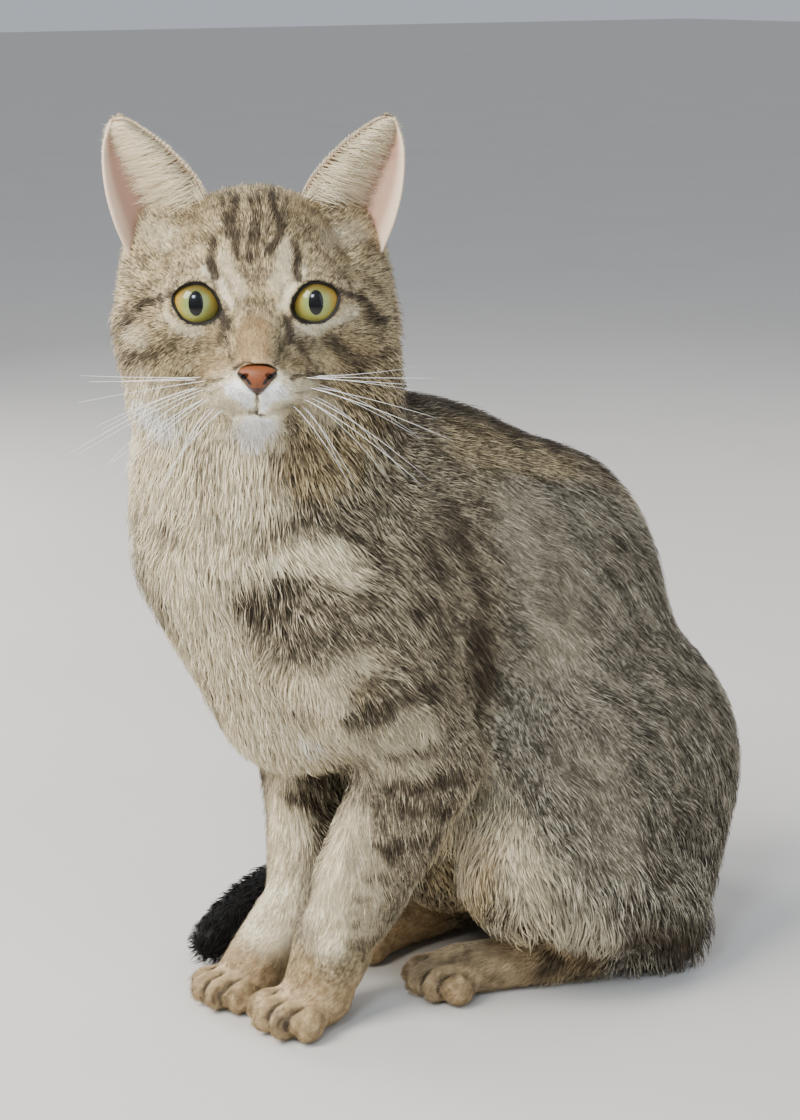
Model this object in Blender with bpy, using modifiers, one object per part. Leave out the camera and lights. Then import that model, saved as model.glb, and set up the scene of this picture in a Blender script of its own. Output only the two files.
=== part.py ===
"""A tabby cat, sitting up with its head turned to its left, life size.

Metres, +Z up. The cat sits facing -Y with its left side towards +X. Head, trunk and legs are shaped
whole, as rounded masses whose distances are blended into one smooth surface, and then parted by thin
cuts. Paws, ears, eyes, nose, tail and whiskers are made on their own and set against it. Every
outline includes the depth of the short coat.
"""

import math

import bmesh
import bpy
import numpy as np
from mathutils import Euler, Matrix, Vector
from mathutils.bvhtree import BVHTree

MM = 0.001

# Fits and fineness
GAP = 0.3 * MM             # left between two nodes that touch
WELDS = (0.01 * MM, 0.002 * MM, 0)   # tried in turn until the mesh is closed
BODY_VOXEL = 2.4 * MM      # grid of the first rough surface
BODY_TRIANGLES = 4900      # what the body is thinned to
FACE_BLEND = 2.4 * MM      # how softly masses run into each other on the face
TRUNK_BLEND = 7.0 * MM     # and on the trunk
FACE_REACH = (46 * MM, 90 * MM)   # the softness grows between these distances from the face
FACE_CLOSE_UP = 2.6        # how much larger the face counts in the thinning

# The head. Its frame sits midway between the fronts of the eyes, -Y looking out of the face
FACE_AT = Vector((37.4, -9.7, 292.4)) * MM
HEAD_YAW = math.radians(55.4)
HEAD_LIFT = math.radians(7.9)
FACE = (Matrix.Translation(FACE_AT) @ Matrix.Rotation(HEAD_YAW, 4, "Z")
        @ Matrix.Rotation(-HEAD_LIFT, 4, "X"))
EYE_PLACE = Vector((21.2, 10.8, 0)) * MM   # middle of the left eyeball in that frame
EYEBALL_R = 10.4 * MM
LID_R = 12.3 * MM          # outside of the lids, round the eyeball
EYE_OPEN_W, EYE_OPEN_H = 17.8 * MM, 14.4 * MM
EYE_SLANT = 18             # degrees that the outer corner stands higher
MOUTH_GROOVE_R = 0.75 * MM

# Limbs: middle of each front paw, and the toes and heel of each hind foot, on the floor; how many
# times the plain size each foot is
PAW_L, PAW_R = Vector((18.5, 22.7, 0)) * MM, Vector((-18.5, 17.1, 0)) * MM
TOES_L, HEEL_L = Vector((30, 88, 0)) * MM, Vector((67, 178, 0)) * MM
TOES_R, HEEL_R = Vector((-22, 86, 0)) * MM, Vector((-21, 188, 0)) * MM
FOREPAW_SIZE_L, FOREPAW_SIZE_R, HINDPAW_SIZE_L, HINDPAW_SIZE_R = 1.12, 1.05, 1.15, 1.0
LEAN_L, LEAN_R = 16, 27    # mm that each front wrist stands behind the middle of its paw

# Tail: its middle line from rump to tip, the radius there, and where along Y it is parted
TAIL_LINE = [(8, 222, 42), (-20, 240, 24), (-56, 226, 16), (-77, 182, 15.6), (-83, 130, 15.6),
             (-80, 84, 14.8), (-67, 50, 13.8), (-52, 25, 12.6)]
TAIL_R = np.array([16, 16, 16, 16, 16, 15.2, 14.2, 13]) * MM
TAIL_CUTS = (188 * MM, 88 * MM)

# Whiskers of one side: for each row on the pad the roots' height in the face frame, the droop in
# degrees, the length and how many there are, front to back
WHISKER_ROWS = [(-25.4, 1, 60, 3), (-28.4, 15, 64, 3), (-31.4, 33, 60, 3), (-34.0, 54, 46, 2)]
WHISKER_R = (0.34 * MM, 0.15 * MM)


def mm(x, y, z):
    return Vector((x, y, z)) * MM


# Objects and their meshes

def link(name, mesh):
    made = bpy.data.objects.new(name, mesh)
    bpy.context.scene.collection.objects.link(made)
    return made


def from_bmesh(name, shape):
    mesh = bpy.data.meshes.new(name)
    bmesh.ops.recalc_face_normals(shape, faces=shape.faces)
    shape.to_mesh(mesh)
    shape.free()
    return link(name, mesh)


def as_mesh(source):
    """The object's evaluated mesh, welded, as a new object; the source is removed."""
    graph = bpy.context.evaluated_depsgraph_get()
    mesh = bpy.data.meshes.new_from_object(source.evaluated_get(graph))
    name = source.name
    bpy.data.objects.remove(source)
    for weld in WELDS:
        shape = bmesh.new()
        shape.from_mesh(mesh)
        bmesh.ops.remove_doubles(shape, verts=shape.verts, dist=weld)
        bmesh.ops.dissolve_degenerate(shape, edges=shape.edges, dist=weld)
        bmesh.ops.triangulate(shape, faces=shape.faces)
        if all(edge.is_manifold for edge in shape.edges):
            break
    bpy.data.meshes.remove(mesh)
    made = from_bmesh("made", shape)
    made.name = name
    return made


def copy_of(made, grow=0.0):
    """A copy, with its surface moved outwards by grow."""
    twin = made.copy()
    twin.data = made.data.copy()
    bpy.context.scene.collection.objects.link(twin)
    for vert in twin.data.vertices:
        vert.co += vert.normal * grow
    return twin


def joined(pieces):
    """The pieces' meshes in one object, still overlapping."""
    shape = bmesh.new()
    for piece in pieces:
        shape.from_mesh(piece.data)
        bpy.data.objects.remove(piece)
    mesh = bpy.data.meshes.new("joined")
    shape.to_mesh(mesh)
    shape.free()
    return link("joined", mesh)


def largest(made):
    """Drops every closed surface but the one that spans most."""
    shape = bmesh.new()
    shape.from_mesh(made.data)
    left, pieces = set(shape.verts), []
    while left:
        start = left.pop()
        piece, front = [start], [start]
        while front:
            near = {v for edge in front.pop().link_edges for v in edge.verts} & left
            left -= near
            piece += near
            front += near
        pieces.append(piece)
    pieces.sort(key=lambda piece: np.ptp([vert.co for vert in piece], axis=0).sum())
    for piece in pieces[:-1]:
        bmesh.ops.delete(shape, geom=piece, context="VERTS")
    shape.to_mesh(made.data)
    shape.free()
    return made


def boolean(base, operation, others, keep=False, solver="EXACT"):
    """Joins or cuts base with the others, which are then removed, and keeps the largest body."""
    group = bpy.data.collections.new("operands")
    bpy.context.scene.collection.children.link(group)
    for other in others:
        group.objects.link(other)
    step = base.modifiers.new(operation, "BOOLEAN")
    step.operation = operation
    step.solver = solver
    step.operand_type = "COLLECTION"
    step.collection = group
    bpy.context.view_layer.update()
    made = as_mesh(base)
    for other in list(group.objects):
        if keep:
            group.objects.unlink(other)
        else:
            bpy.data.objects.remove(other)
    bpy.data.collections.remove(group)
    return largest(made)


def ball(centre, radii, frame=Matrix(), turn=(0, 0, 0), segments=32):
    """A sphere stretched to three radii and turned, in a frame."""
    shape = bmesh.new()
    bmesh.ops.create_uvsphere(shape, u_segments=segments, v_segments=segments * 5 // 8, radius=1)
    angles = Euler([math.radians(a) for a in turn])
    place = frame @ Matrix.LocRotScale(centre, angles, radii)
    bmesh.ops.transform(shape, matrix=place, verts=shape.verts)
    return from_bmesh("ball", shape)


def block(low, high, frame=Matrix()):
    """A box between two corners, in a frame."""
    shape = bmesh.new()
    bmesh.ops.create_cube(shape, size=1.0)
    place = frame @ Matrix.LocRotScale((low + high) / 2, None, high - low)
    bmesh.ops.transform(shape, matrix=place, verts=shape.verts)
    return from_bmesh("block", shape)


def smooth_line(points, radii, steps):
    """Catmull-Rom curve through the points, with the radius carried along it the same way."""
    knots = np.array([(*p, r) for p, r in zip(points, radii)])
    ends = np.vstack([2 * knots[0] - knots[1], knots, 2 * knots[-1] - knots[-2]])
    share = np.linspace(0, 1, steps, endpoint=False)[:, None]
    runs = []
    for a, b, c, d in zip(ends, ends[1:], ends[2:], ends[3:]):
        runs.append(0.5 * (2 * b + (c - a) * share + (2 * a - 5 * b + 4 * c - d) * share**2
                           + (3 * b - 3 * c + d - a) * share**3))
    return np.vstack([*runs, knots[-1:]])


def round_end(line):
    """The line with its last end drawn on into a half ball."""
    ahead = line[-1, :3] - line[-2, :3]
    ahead /= np.linalg.norm(ahead)
    radius = line[-1, 3]
    share = np.array([0.35, 0.6, 0.8, 0.93, 0.99])[:, None]
    ends = [line[-1, :3] + share * ahead * radius, radius * np.sqrt(1 - share**2)]
    return np.vstack([line, np.hstack(ends)])


def tube(line, frame=Matrix(), resolution=4):
    """A round bar along a line of (x, y, z, radius), with flat ends."""
    curve = bpy.data.curves.new("tube", "CURVE")
    curve.dimensions = "3D"
    curve.bevel_depth = 1.0
    curve.bevel_resolution = resolution
    curve.use_fill_caps = True
    spline = curve.splines.new("POLY")
    spline.points.add(len(line) - 1)
    for point, (x, y, z, radius) in zip(spline.points, line):
        point.co = (*(frame @ Vector((x, y, z))), 1)
        point.radius = radius
    return as_mesh(link("tube", curve))


# Blended masses

class Mass:
    """An ellipsoid, given in millimetres in a frame."""

    def __init__(self, centre, radii, frame=Matrix(), turn=(0, 0, 0)):
        angles = Euler([math.radians(a) for a in turn])
        self.place = frame @ Matrix.LocRotScale(mm(*centre), angles, None)
        self.radii = np.array(radii) * MM

    def distance(self, points):
        """Roughly how far each point is outside: with k0 the length of p/r and k1 that of p/r^2,
        k0 (k0 - 1) / k1."""
        inside = np.array(self.place.inverted())
        local = points @ inside[:3, :3].T + inside[:3, 3]
        scaled = np.linalg.norm(local / self.radii, axis=1)
        steep = np.linalg.norm(local / self.radii**2, axis=1)
        return scaled * (scaled - 1) / np.maximum(steep, 1e-9)

    def solid(self, grow):
        return ball(Vector(), Vector(self.radii + grow), self.place, segments=20)


class Bar:
    """A round bar between two ends, each with its own radius, in millimetres in a frame."""

    def __init__(self, start, end, radii, frame=Matrix()):
        self.start, self.end = frame @ mm(*start), frame @ mm(*end)
        self.radii = np.array(radii) * MM

    def distance(self, points):
        start, along = np.array(self.start), np.array(self.end - self.start)
        share = np.clip((points - start) @ along / (along @ along), 0, 1)
        radius = self.radii[0] + share * (self.radii[1] - self.radii[0])
        return np.linalg.norm(points - start - share[:, None] * along, axis=1) - radius

    def solid(self, grow):
        thick = self.radii + grow
        pieces = [ball(end, Vector((r, r, r)), segments=16)
                  for end, r in zip((self.start, self.end), thick)]
        line = [(*self.start, thick[0]), (*self.end, thick[1])]
        return joined([*pieces, tube(line)])


def bars(points, radii, frame=Matrix()):
    """A chain of bars along a line of points."""
    steps = zip(points, points[1:], radii, radii[1:])
    return [Bar(a, b, (ra, rb), frame) for a, b, ra, rb in steps]


def mirrored(centre, radii, frame=Matrix(), turn=(0, 0, 0)):
    """The mass and its twin on the other side of the frame."""
    x, y, z = centre
    pitch, roll, yaw = turn
    return [Mass(centre, radii, frame, turn), Mass((-x, y, z), radii, frame, (pitch, -roll, -yaw))]


def blended(masses, points, softness):
    """Soft least distance to the masses: -k log(sum of e^(-d/k)), with k the softness."""
    total = sum(np.exp(-mass.distance(points) / softness) for mass in masses)
    return -softness * np.log(np.maximum(total, 1e-12))


def settle(masses, points, softness, most):
    """Moves points along the slope of the blended distance until it is nought."""
    step = 0.1 * MM
    for _ in range(5):
        k = softness(points)
        here = blended(masses, points, k)
        slope = np.stack([(blended(masses, points + step * axis, k) - here) / step
                          for axis in np.eye(3)], axis=1)
        steep = np.maximum((slope**2).sum(1), 0.05)
        move = np.clip(here / steep, -most, most)
        points = points - move[:, None] * slope
    return points


def enlarged(points, centre, reach, times):
    """Spreads points out round a centre: a distance r becomes r + (times - 1) min(r, reach)."""
    away = np.linalg.norm(points - centre, axis=1, keepdims=True)
    return points + (points - centre) * (times - 1) * np.minimum(1, reach / np.maximum(away, MM))


def reduced(points, centre, reach, times):
    """Undoes enlarged: a distance r becomes r / times within the reach, and less the same
    (times - 1) reach beyond it."""
    away = np.linalg.norm(points - centre, axis=1, keepdims=True)
    back = np.where(away < times * reach, away / times, away - (times - 1) * reach)
    return centre + (points - centre) * back / np.maximum(away, MM)


def points_of(made):
    points = np.empty(len(made.data.vertices) * 3, np.float32)
    made.data.vertices.foreach_get("co", points)
    return points.reshape(-1, 3).astype(float)


def put_points(made, points):
    made.data.vertices.foreach_set("co", points.astype(np.float32).ravel())
    made.data.update()


def shaped(name, masses, voxel, softness, triangles, close_up=None):
    """One closed surface over the masses: a rough fused mesh is moved on to the blended surface,
    cut flat at the floor and thinned. close_up gives a centre, a reach and a factor: within the
    reach the surface keeps more triangles, because it is enlarged while it is thinned."""
    rough = joined([mass.solid(1.2 * voxel) for mass in masses])
    fuse = rough.modifiers.new("fuse", "REMESH")
    fuse.mode = "VOXEL"
    fuse.voxel_size = voxel
    made = largest(as_mesh(rough))
    for last in (False, False, True):
        points = settle(masses, points_of(made), softness, voxel)
        points[:, 2] = np.maximum(points[:, 2], 0)
        put_points(made, points)
        if not last:
            relax = made.modifiers.new("relax", "SMOOTH")
            relax.iterations = 2
            made = as_mesh(made)
    if close_up:
        put_points(made, enlarged(points, *close_up))
    thin = made.modifiers.new("thin", "DECIMATE")
    thin.ratio = triangles / sum(len(face.vertices) - 2 for face in made.data.polygons)
    made = as_mesh(made)
    points = points_of(made)
    if close_up:
        points = reduced(points, *close_up)
    points[:, 2] = np.where(points[:, 2] < 0.4 * MM, 0, points[:, 2])
    put_points(made, points)
    made.name = name
    return made


# What the cat is made of

def head_masses():
    """Skull, cheeks, brows, nose bridge, muzzle and jaw, in the face frame."""
    return [
        Mass((0, 38, 12), (33, 37, 32), FACE),              # cranium
        Mass((0, 21, 17), (27, 19, 22), FACE),              # forehead
        Mass((0, 3, -26), (14, 13, 12), FACE),              # under the whisker pads
        Mass((0, -3, -41.5), (8.5, 8.5, 6.5), FACE),        # chin
        Mass((0, 14, -35), (15, 20, 11), FACE),             # lower jaw
        Mass((0, 36, -32), (27, 24, 19), FACE),             # throat
        *bars([(0, 14, 10), (0, 1, -3), (0, -8, -14), (0, -12.5, -22)], [10, 7.5, 6.4, 5.6], FACE),
        *mirrored((27, 33, -8), (26.5, 25, 27), FACE),      # cheeks
        *mirrored((23, 27, -25), (21, 21, 16), FACE),       # jowls
        *mirrored((19, 17, -14), (14.5, 12, 13), FACE),     # below the eyes
        *mirrored((10.5, 5, -11), (8, 9, 10), FACE),        # beside the nose
        *mirrored((19, 17, 12), (13, 11, 9), FACE),         # brows
        *mirrored((30, 39, 24), (16, 14, 16), FACE),        # roots of the ears
        *mirrored((36, 32, 12), (12.5, 13, 14), FACE),      # temples
        *mirrored(EYE_PLACE / MM, [LID_R / MM] * 3, FACE),  # lids, closed
        *mirrored((6.6, -8.5, -30), (7.4, 7.6, 6.6), FACE),   # upper lip
        *mirrored((13, -1.5, -29), (9.0, 10.5, 8.6), FACE),   # whisker pads
    ]


def trunk_masses():
    """Neck, chest, ribs, loin and rump."""
    return [
        Mass((3, 45, -32), (52, 37, 36), FACE),     # ruff behind the jaw
        Mass((-7, 26, 226), (55, 51, 36)),          # neck
        Mass((-8, 20, 193), (50, 47, 42)),          # breast
        Mass((-5, 38, 162), (46, 46, 46)),          # front of the chest
        Mass((-6, 38, 126), (35, 32, 30)),          # between the elbows
        Mass((2, 62, 182), (44, 56, 56)),           # ribs at the shoulder
        Mass((3, 82, 217), (30, 45, 27)),           # withers
        Mass((7, 112, 162), (49, 59, 68)),          # ribs
        Mass((8, 112, 100), (40, 54, 44)),          # belly
        Mass((4, 118, 58), (32, 46, 36)),           # groin
        Mass((14, 150, 140.5), (48, 54, 77.5)),     # loin
        Mass((21, 186, 80), (52, 50, 60)),          # rump
        Mass((20, 192, 34), (42, 40, 38)),          # seat
    ]


def foreleg_masses(side, paw, thick, lean):
    """Shoulder, upper arm and forearm down to the wrist, which stands behind the paw's middle."""
    x, y = paw.x / MM, paw.y / MM
    arm = [(36 * side, 24, 172), (40 * side, 44, 138), (43 * side, 64, 108)]
    fore = [(43 * side, 62, 108), (32 * side, 46 + lean / 2, 80), (x + 5 * side, y + lean + 9, 58),
            (x + 3 * side, y + lean + 4, 44)]
    return [
        Mass((35 * side, 39, 168), (21, 33, 43)),
        *bars(arm, [19, 21, 21]),
        *bars(fore, [21.5, thick + 2, thick, thick - 1.5]),
    ]


def hindleg_masses(thigh, knee, heel):
    """Thigh, knee and the folded shank down to the foot."""
    x, y = heel.x / MM, heel.y / MM
    shank = [knee, ((knee[0] + x) / 2, (knee[1] + y) / 2, 44), (x - 2, y - 8, 30)]
    return [
        Mass(thigh, (28, 62, 60), turn=(-14, 0, 0)),
        Mass(knee, (24, 28, 30)),
        *bars(shank, [24, 22, 17]),
    ]


def body_softness(points):
    """Small on the face and between the forelegs, full on the trunk."""
    away = np.linalg.norm(points - np.array(FACE @ mm(0, 18, -6)), axis=1)
    head = (away - FACE_REACH[0]) / (FACE_REACH[1] - FACE_REACH[0])
    legs = np.maximum((points[:, 2] - 0.09) / 0.06, (points[:, 1] - 0.085) / 0.05)
    share = np.clip(np.minimum(head, np.maximum(legs, 0)), 0, 1)
    return FACE_BLEND + share * (TRUNK_BLEND - FACE_BLEND)


def forepaw(name, at, yaw, size, lean, thick):
    """A front paw: four toes, palm and wrist. It stands on the floor, toes to -Y."""
    upright = Matrix.Translation(at) @ Matrix.Rotation(math.radians(yaw), 4, "Z")
    frame = upright @ Matrix.Scale(size, 4)
    toes = [(-11.4, -8.5, 6.6), (-4.2, -13.5, 7.2), (4.2, -13.5, 7.2), (11.4, -8.5, 6.6)]
    masses = [Mass((x, y, z), (4.4, 8.2, 6.8), frame, (0, 0, 1.5 * x)) for x, y, z in toes]
    masses += [Mass((0, 3, 8), (13.2, 15, 8.5), frame)]
    masses += bars([(0, 6, 13), (1, lean, 35)], [12.5 * size, thick - 2], upright)
    return shaped(name, masses, 1.5 * MM, lambda p: np.full(len(p), 0.9 * MM), 460)


def hind_foot(name, toes, heel, size, turn):
    """A hind foot laid flat, from toes to heel, with the long hair of the heel. Its toes are
    turned by so many degrees from the line of the foot."""
    along = heel - toes
    frame = Matrix.Translation(toes) @ Matrix.Rotation(math.atan2(-along.x, along.y), 4, "Z")
    front = frame @ Matrix.Rotation(math.radians(turn), 4, "Z") @ Matrix.Scale(size, 4)
    back = along.length / MM
    rows = [(-10.8, -5, 6.4), (-4.0, -9.5, 7.0), (4.0, -9.5, 7.0), (10.8, -5, 6.4)]
    masses = [Mass((x, y, z), (4.2, 8.6, 6.6), front, (0, 0, 1.5 * x)) for x, y, z in rows]
    masses += [Mass((0, 5, 8), (12.2, 14, 8), front)]
    masses += bars([(0, 8, 9.5), (0, back * 0.6, 11), (0, back, 12)], [10.5, 11, 13], frame)
    masses += [Mass((0, back, 22), (14, 16, 20), frame)]
    return shaped(name, masses, 1.6 * MM, lambda p: np.full(len(p), 1.0 * MM), 460)


def nose_leather():
    """The bare nose, a wedge that is broad at the top."""
    masses = [
        Mass((0, -16.2, -24.3), (7.0, 3.6, 2.7), FACE),
        Mass((0, -17.0, -26.3), (4.2, 3.2, 3.0), FACE),
        Mass((0, -15.8, -28.8), (2.2, 2.8, 2.5), FACE),
    ]
    return shaped("nose", masses, 0.7 * MM, lambda p: np.full(len(p), 0.7 * MM), 320)


def with_nostrils(nose):
    cuts = [ball(mm(4.5 * side, -19.2, -25.4), mm(1.9, 2.8, 1.0), FACE, (0, 24 * side, 0), 10)
            for side in (1, -1)]
    return boolean(nose, "DIFFERENCE", cuts)


def ear_grid(side, bulge, ahead):
    """Rows from base to tip between the ear's inner and outer edge, bulging to the back."""
    inner = [(15, 30, 32), (20, 31, 44), (31, 33, 56.5), (42.5, 36, 65), (50, 39, 68.5)]
    outer = [(45.5, 26, 17), (50.5, 24, 29), (53.8, 26.5, 42), (54, 32, 55), (51, 39, 68.5)]
    inner = smooth_line(inner, [0] * 5, 3)[:, :3]
    outer = smooth_line(outer, [0] * 5, 3)[:, :3]
    across = np.linspace(0, 1, 11)
    share = np.linspace(0, 1, len(inner))[:, None]
    depth = bulge * np.sin(math.pi * across)[None] ** 0.8 * (1 - share) ** 0.55 - ahead
    grid = inner[:, None] + (outer - inner)[:, None] * across[None, :, None]
    grid = grid + depth[..., None] * np.array([-0.10, 0.98, 0.12])
    return grid * [side, 1, 1] * MM


def add_grid(shape, grid):
    """The grid's faces in shape, and its vertices by row and column."""
    rows, columns = grid.shape[:2]
    verts = [[shape.verts.new(FACE @ Vector(point)) for point in row] for row in grid]
    for row in range(rows - 1):
        for column in range(columns - 1):
            shape.faces.new([verts[row][column], verts[row][column + 1],
                             verts[row + 1][column + 1], verts[row + 1][column]])
    return verts


def ear_shell(name, side):
    """A cup lofted between its inner and outer edges, 2.4 mm thick."""
    shape = bmesh.new()
    add_grid(shape, ear_grid(side, 16, 0))
    made = from_bmesh(name, shape)
    wall = made.modifiers.new("wall", "SOLIDIFY")
    wall.thickness = 2.4 * MM
    wall.offset = 0
    return as_mesh(made)


def ear_cavity(side):
    """Cutter for the room in front of the shell, from the cup's surface forwards."""
    shape = bmesh.new()
    back = add_grid(shape, ear_grid(side, 15, 0)[3:])
    front = add_grid(shape, ear_grid(side, 0, 22)[3:])
    for near, far in ((back, front), *[([list(row) for row in zip(*back)],
                                        [list(row) for row in zip(*front)])]):
        for end in (0, -1):
            for a, b, c, d in zip(near[end], near[end][1:], far[end][1:], far[end]):
                shape.faces.new([a, b, c, d])
    return from_bmesh("cavity", shape)


def eye_centre(side):
    return FACE @ (EYE_PLACE * Vector((side, 1, 1)))


def eye_opening(side):
    """Cutter for the opening between the lids: an almond, its outer corner higher."""
    made = ball(Vector(), Vector((EYE_OPEN_W / 2, 11 * MM, EYE_OPEN_H / 2)), segments=24)
    for vert in made.data.vertices:
        vert.co.z *= 1 - 0.36 * (2 * vert.co.x / EYE_OPEN_W) ** 2
    turn = Matrix.Rotation(math.radians(-EYE_SLANT * side), 4, "Y")
    at = Matrix.Translation((side * EYE_PLACE.x, 0, 0))
    made.data.transform(FACE @ at @ turn)
    return made


def mouth_line(muzzle, points):
    """Cutter that follows the muzzle's surface under points (x, z) of the face frame."""
    tree = BVHTree.FromPolygons([FACE.inverted() @ v.co for v in muzzle.data.vertices],
                                [face.vertices for face in muzzle.data.polygons])
    line = []
    for x, z in points:
        hit = tree.ray_cast(mm(x, -60, z), Vector((0, 1, 0)))[0]
        line.append((hit.x, hit.y, hit.z, MOUTH_GROOVE_R))
    return tube(line, FACE, resolution=1)


def whisker(side, height, droop, length, place):
    """A tapered spine from inside the pad, out and down to its tip. place counts from the front."""
    x, back, droop = 9.5 + 3.5 * place, math.radians(20 * place - 6), math.radians(droop)
    reach = length * math.cos(droop)
    start = np.array([0.8 * x, place - 3, height])
    out = np.array([x + 0.25 * reach, 6 * place - 17, height - 1])
    end = [x + reach * math.cos(back), 6 * place - 12 + reach * math.sin(back),
           height - length * math.sin(droop)]
    share = np.linspace(0, 1, 6)[:, None]
    bend = (1 - share) ** 2 * start + 2 * share * (1 - share) * out + share**2 * np.array(end)
    thick = np.linspace(*WHISKER_R, 6)[:, None]
    return tube(np.hstack([bend * [side, 1, 1] * MM, thick]), FACE, resolution=0)


def part_off(body, name, cell):
    """Takes the piece of body inside the cell, named, and cuts the rest back by the gap."""
    rest = copy_of(body)
    piece = boolean(body, "INTERSECT", [copy_of(cell)])
    piece.name = name
    grown = copy_of(cell, GAP)
    bpy.data.objects.remove(cell)
    return piece, boolean(rest, "DIFFERENCE", [grown])


def tail_pieces():
    """The tail in three lengths with a round tip, laid on the floor round the right side."""
    line = smooth_line([mm(*p) for p in TAIL_LINE], TAIL_R, 6)
    root = tube(round_end(line), resolution=3)
    for vert in root.data.vertices:
        vert.co.z = max(vert.co.z, 0)
    pieces = []
    for name, cut in zip(("tail_tip", "tail_middle"), reversed(TAIL_CUTS)):
        cell = block(mm(-300, -300, -50), Vector((300 * MM, cut, 300 * MM)))
        piece, root = part_off(root, name, cell)
        pieces.append(piece)
    root.name = "tail_root"
    return [root, pieces[1], pieces[0]]


def leg_cell(side):
    """Round the upper arm and the whole foreleg of one side."""
    line = smooth_line([mm(30 * side, 42, -12), mm(32 * side, 46, 40), mm(42 * side, 56, 96),
                        mm(50 * side, 50, 130), mm(50 * side, 34, 168)],
                       [31 * MM, 30 * MM, 28 * MM, 24 * MM, 20 * MM], 1)
    return tube(round_end(line), resolution=2)


def colour(name, rgb, roughness):
    made = bpy.data.materials.new(name)
    made.use_nodes = True
    shader = made.node_tree.nodes["Principled BSDF"]
    shader.inputs["Base Color"].default_value = (*rgb, 1)
    shader.inputs["Roughness"].default_value = roughness
    return made


def centre_on_floor(nodes):
    """Moves every node so that the box round them all has the middle of its base at the origin."""
    corners = np.array([vert.co for node in nodes for vert in node.data.vertices])
    low, high = corners.min(0), corners.max(0)
    move = Vector((-(low[0] + high[0]) / 2, -(low[1] + high[1]) / 2, -low[2]))
    for node in nodes:
        node.data.transform(Matrix.Translation(move))


def main():
    for old in list(bpy.data.objects):
        bpy.data.objects.remove(old)

    masses = head_masses() + trunk_masses()
    masses += foreleg_masses(1, PAW_L, 18.5, LEAN_L) + foreleg_masses(-1, PAW_R, 15, LEAN_R)
    masses += hindleg_masses((52, 150, 84), (56, 102, 62), HEEL_L)
    masses += hindleg_masses((-20, 154, 84), (-26, 106, 62), HEEL_R)
    close_up = (np.array(FACE @ mm(0, 8, -8)), FACE_REACH[0], FACE_CLOSE_UP)
    body = shaped("body", masses, BODY_VOXEL, body_softness, BODY_TRIANGLES, close_up)

    paws = [forepaw("forepaw_left", PAW_L, 8, FOREPAW_SIZE_L, LEAN_L, 18.5),
            forepaw("forepaw_right", PAW_R, 4, FOREPAW_SIZE_R, LEAN_R, 15),
            hind_foot("hindpaw_left", TOES_L, HEEL_L, HINDPAW_SIZE_L, 26),
            hind_foot("hindpaw_right", TOES_R, HEEL_R, HINDPAW_SIZE_R, 0)]
    tail, nose = tail_pieces(), nose_leather()
    ears = [ear_shell("ear_left", 1), ear_shell("ear_right", -1)]
    eyes = [ball(eye_centre(side), Vector((EYEBALL_R,) * 3), segments=18) for side in (1, -1)]
    eyes[0].name, eyes[1].name = "eye_left", "eye_right"
    set_in = [copy_of(piece, GAP) for piece in (*paws, tail[0])]
    body = boolean(body, "DIFFERENCE", set_in)
    socket = Vector((EYEBALL_R + GAP,) * 3)
    holes = [ball(eye_centre(side), socket, segments=18) for side in (1, -1)]
    holes += [eye_opening(side) for side in (1, -1)] + [ear_cavity(side) for side in (1, -1)]
    body = boolean(body, "DIFFERENCE", holes)
    body = boolean(body, "DIFFERENCE", [copy_of(piece, GAP) for piece in (*ears, nose)])
    nose = with_nostrils(nose)

    head, body = part_off(body, "head", ball(mm(0, 30, -2), mm(66, 58, 56), FACE, segments=16))
    cell = ball(mm(0, -20, -33), mm(28, 44, 18.5), FACE, segments=18)
    muzzle, head = part_off(head, "muzzle", cell)
    cell = block(mm(-90, -80, 0), mm(90, 120, 140),
                 Matrix.Translation(mm(0, 30, 202)) @ Matrix.Rotation(math.radians(16), 4, "X"))
    neck, body = part_off(body, "neck", cell)
    left, body = part_off(body, "foreleg_left", leg_cell(1))
    right, body = part_off(body, "foreleg_right", leg_cell(-1))
    cells = [ball(mm(x, y, 76), mm(38, 84, 84), segments=14) for x, y in ((66, 130), (-38, 134))]
    thigh, body = part_off(body, "hindleg_left", cells[0])
    other, body = part_off(body, "hindleg_right", cells[1])
    head.name, body.name = "head", "torso"

    mouth = [(-11.5, -38.2), (-9, -39.6), (-5, -38.8), (-2, -37.2), (0, -36.4), (2, -37.2),
             (5, -38.8), (9, -39.6), (11.5, -38.2)]
    cuts = [mouth_line(muzzle, mouth), mouth_line(muzzle, [(0, -30.5), (0, -33), (0, -36.6)])]
    muzzle = boolean(muzzle, "DIFFERENCE", cuts)
    spines = [whisker(side, height, droop, length, place) for side in (1, -1)
              for height, droop, length, count in WHISKER_ROWS for place in range(count)]
    muzzle = boolean(muzzle, "UNION", spines, solver="MANIFOLD")

    looks = [
        ("grey_brown_fur", (0.24, 0.19, 0.14), 0.9,
         [head, neck, body, left, right, thigh, other, tail[0], tail[1], *ears]),
        ("pale_fur", (0.62, 0.54, 0.44), 0.9, paws),
        ("black_fur", (0.02, 0.017, 0.015), 0.9, [tail[2]]),
        ("white_fur", (0.78, 0.74, 0.68), 0.85, [muzzle]),
        ("nose_leather", (0.48, 0.16, 0.10), 0.5, [nose]),
        ("yellow_green_eye", (0.42, 0.44, 0.12), 0.08, eyes),
    ]
    cat = bpy.data.collections.new("seated_tabby_cat")
    bpy.context.scene.collection.children.link(cat)
    nodes = []
    for finish, rgb, roughness, members in looks:
        for member in members:
            member.data.materials.clear()
            member.data.materials.append(colour(f"{member.name}_{finish}", rgb, roughness))
            member.data.shade_smooth()
            member.data.name = member.name
            bpy.context.scene.collection.objects.unlink(member)
            cat.objects.link(member)
            nodes.append(member)
    for spare in set(bpy.data.objects) - set(nodes):
        bpy.data.objects.remove(spare)
    centre_on_floor(nodes)


if __name__ == "__main__":
    main()
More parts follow.
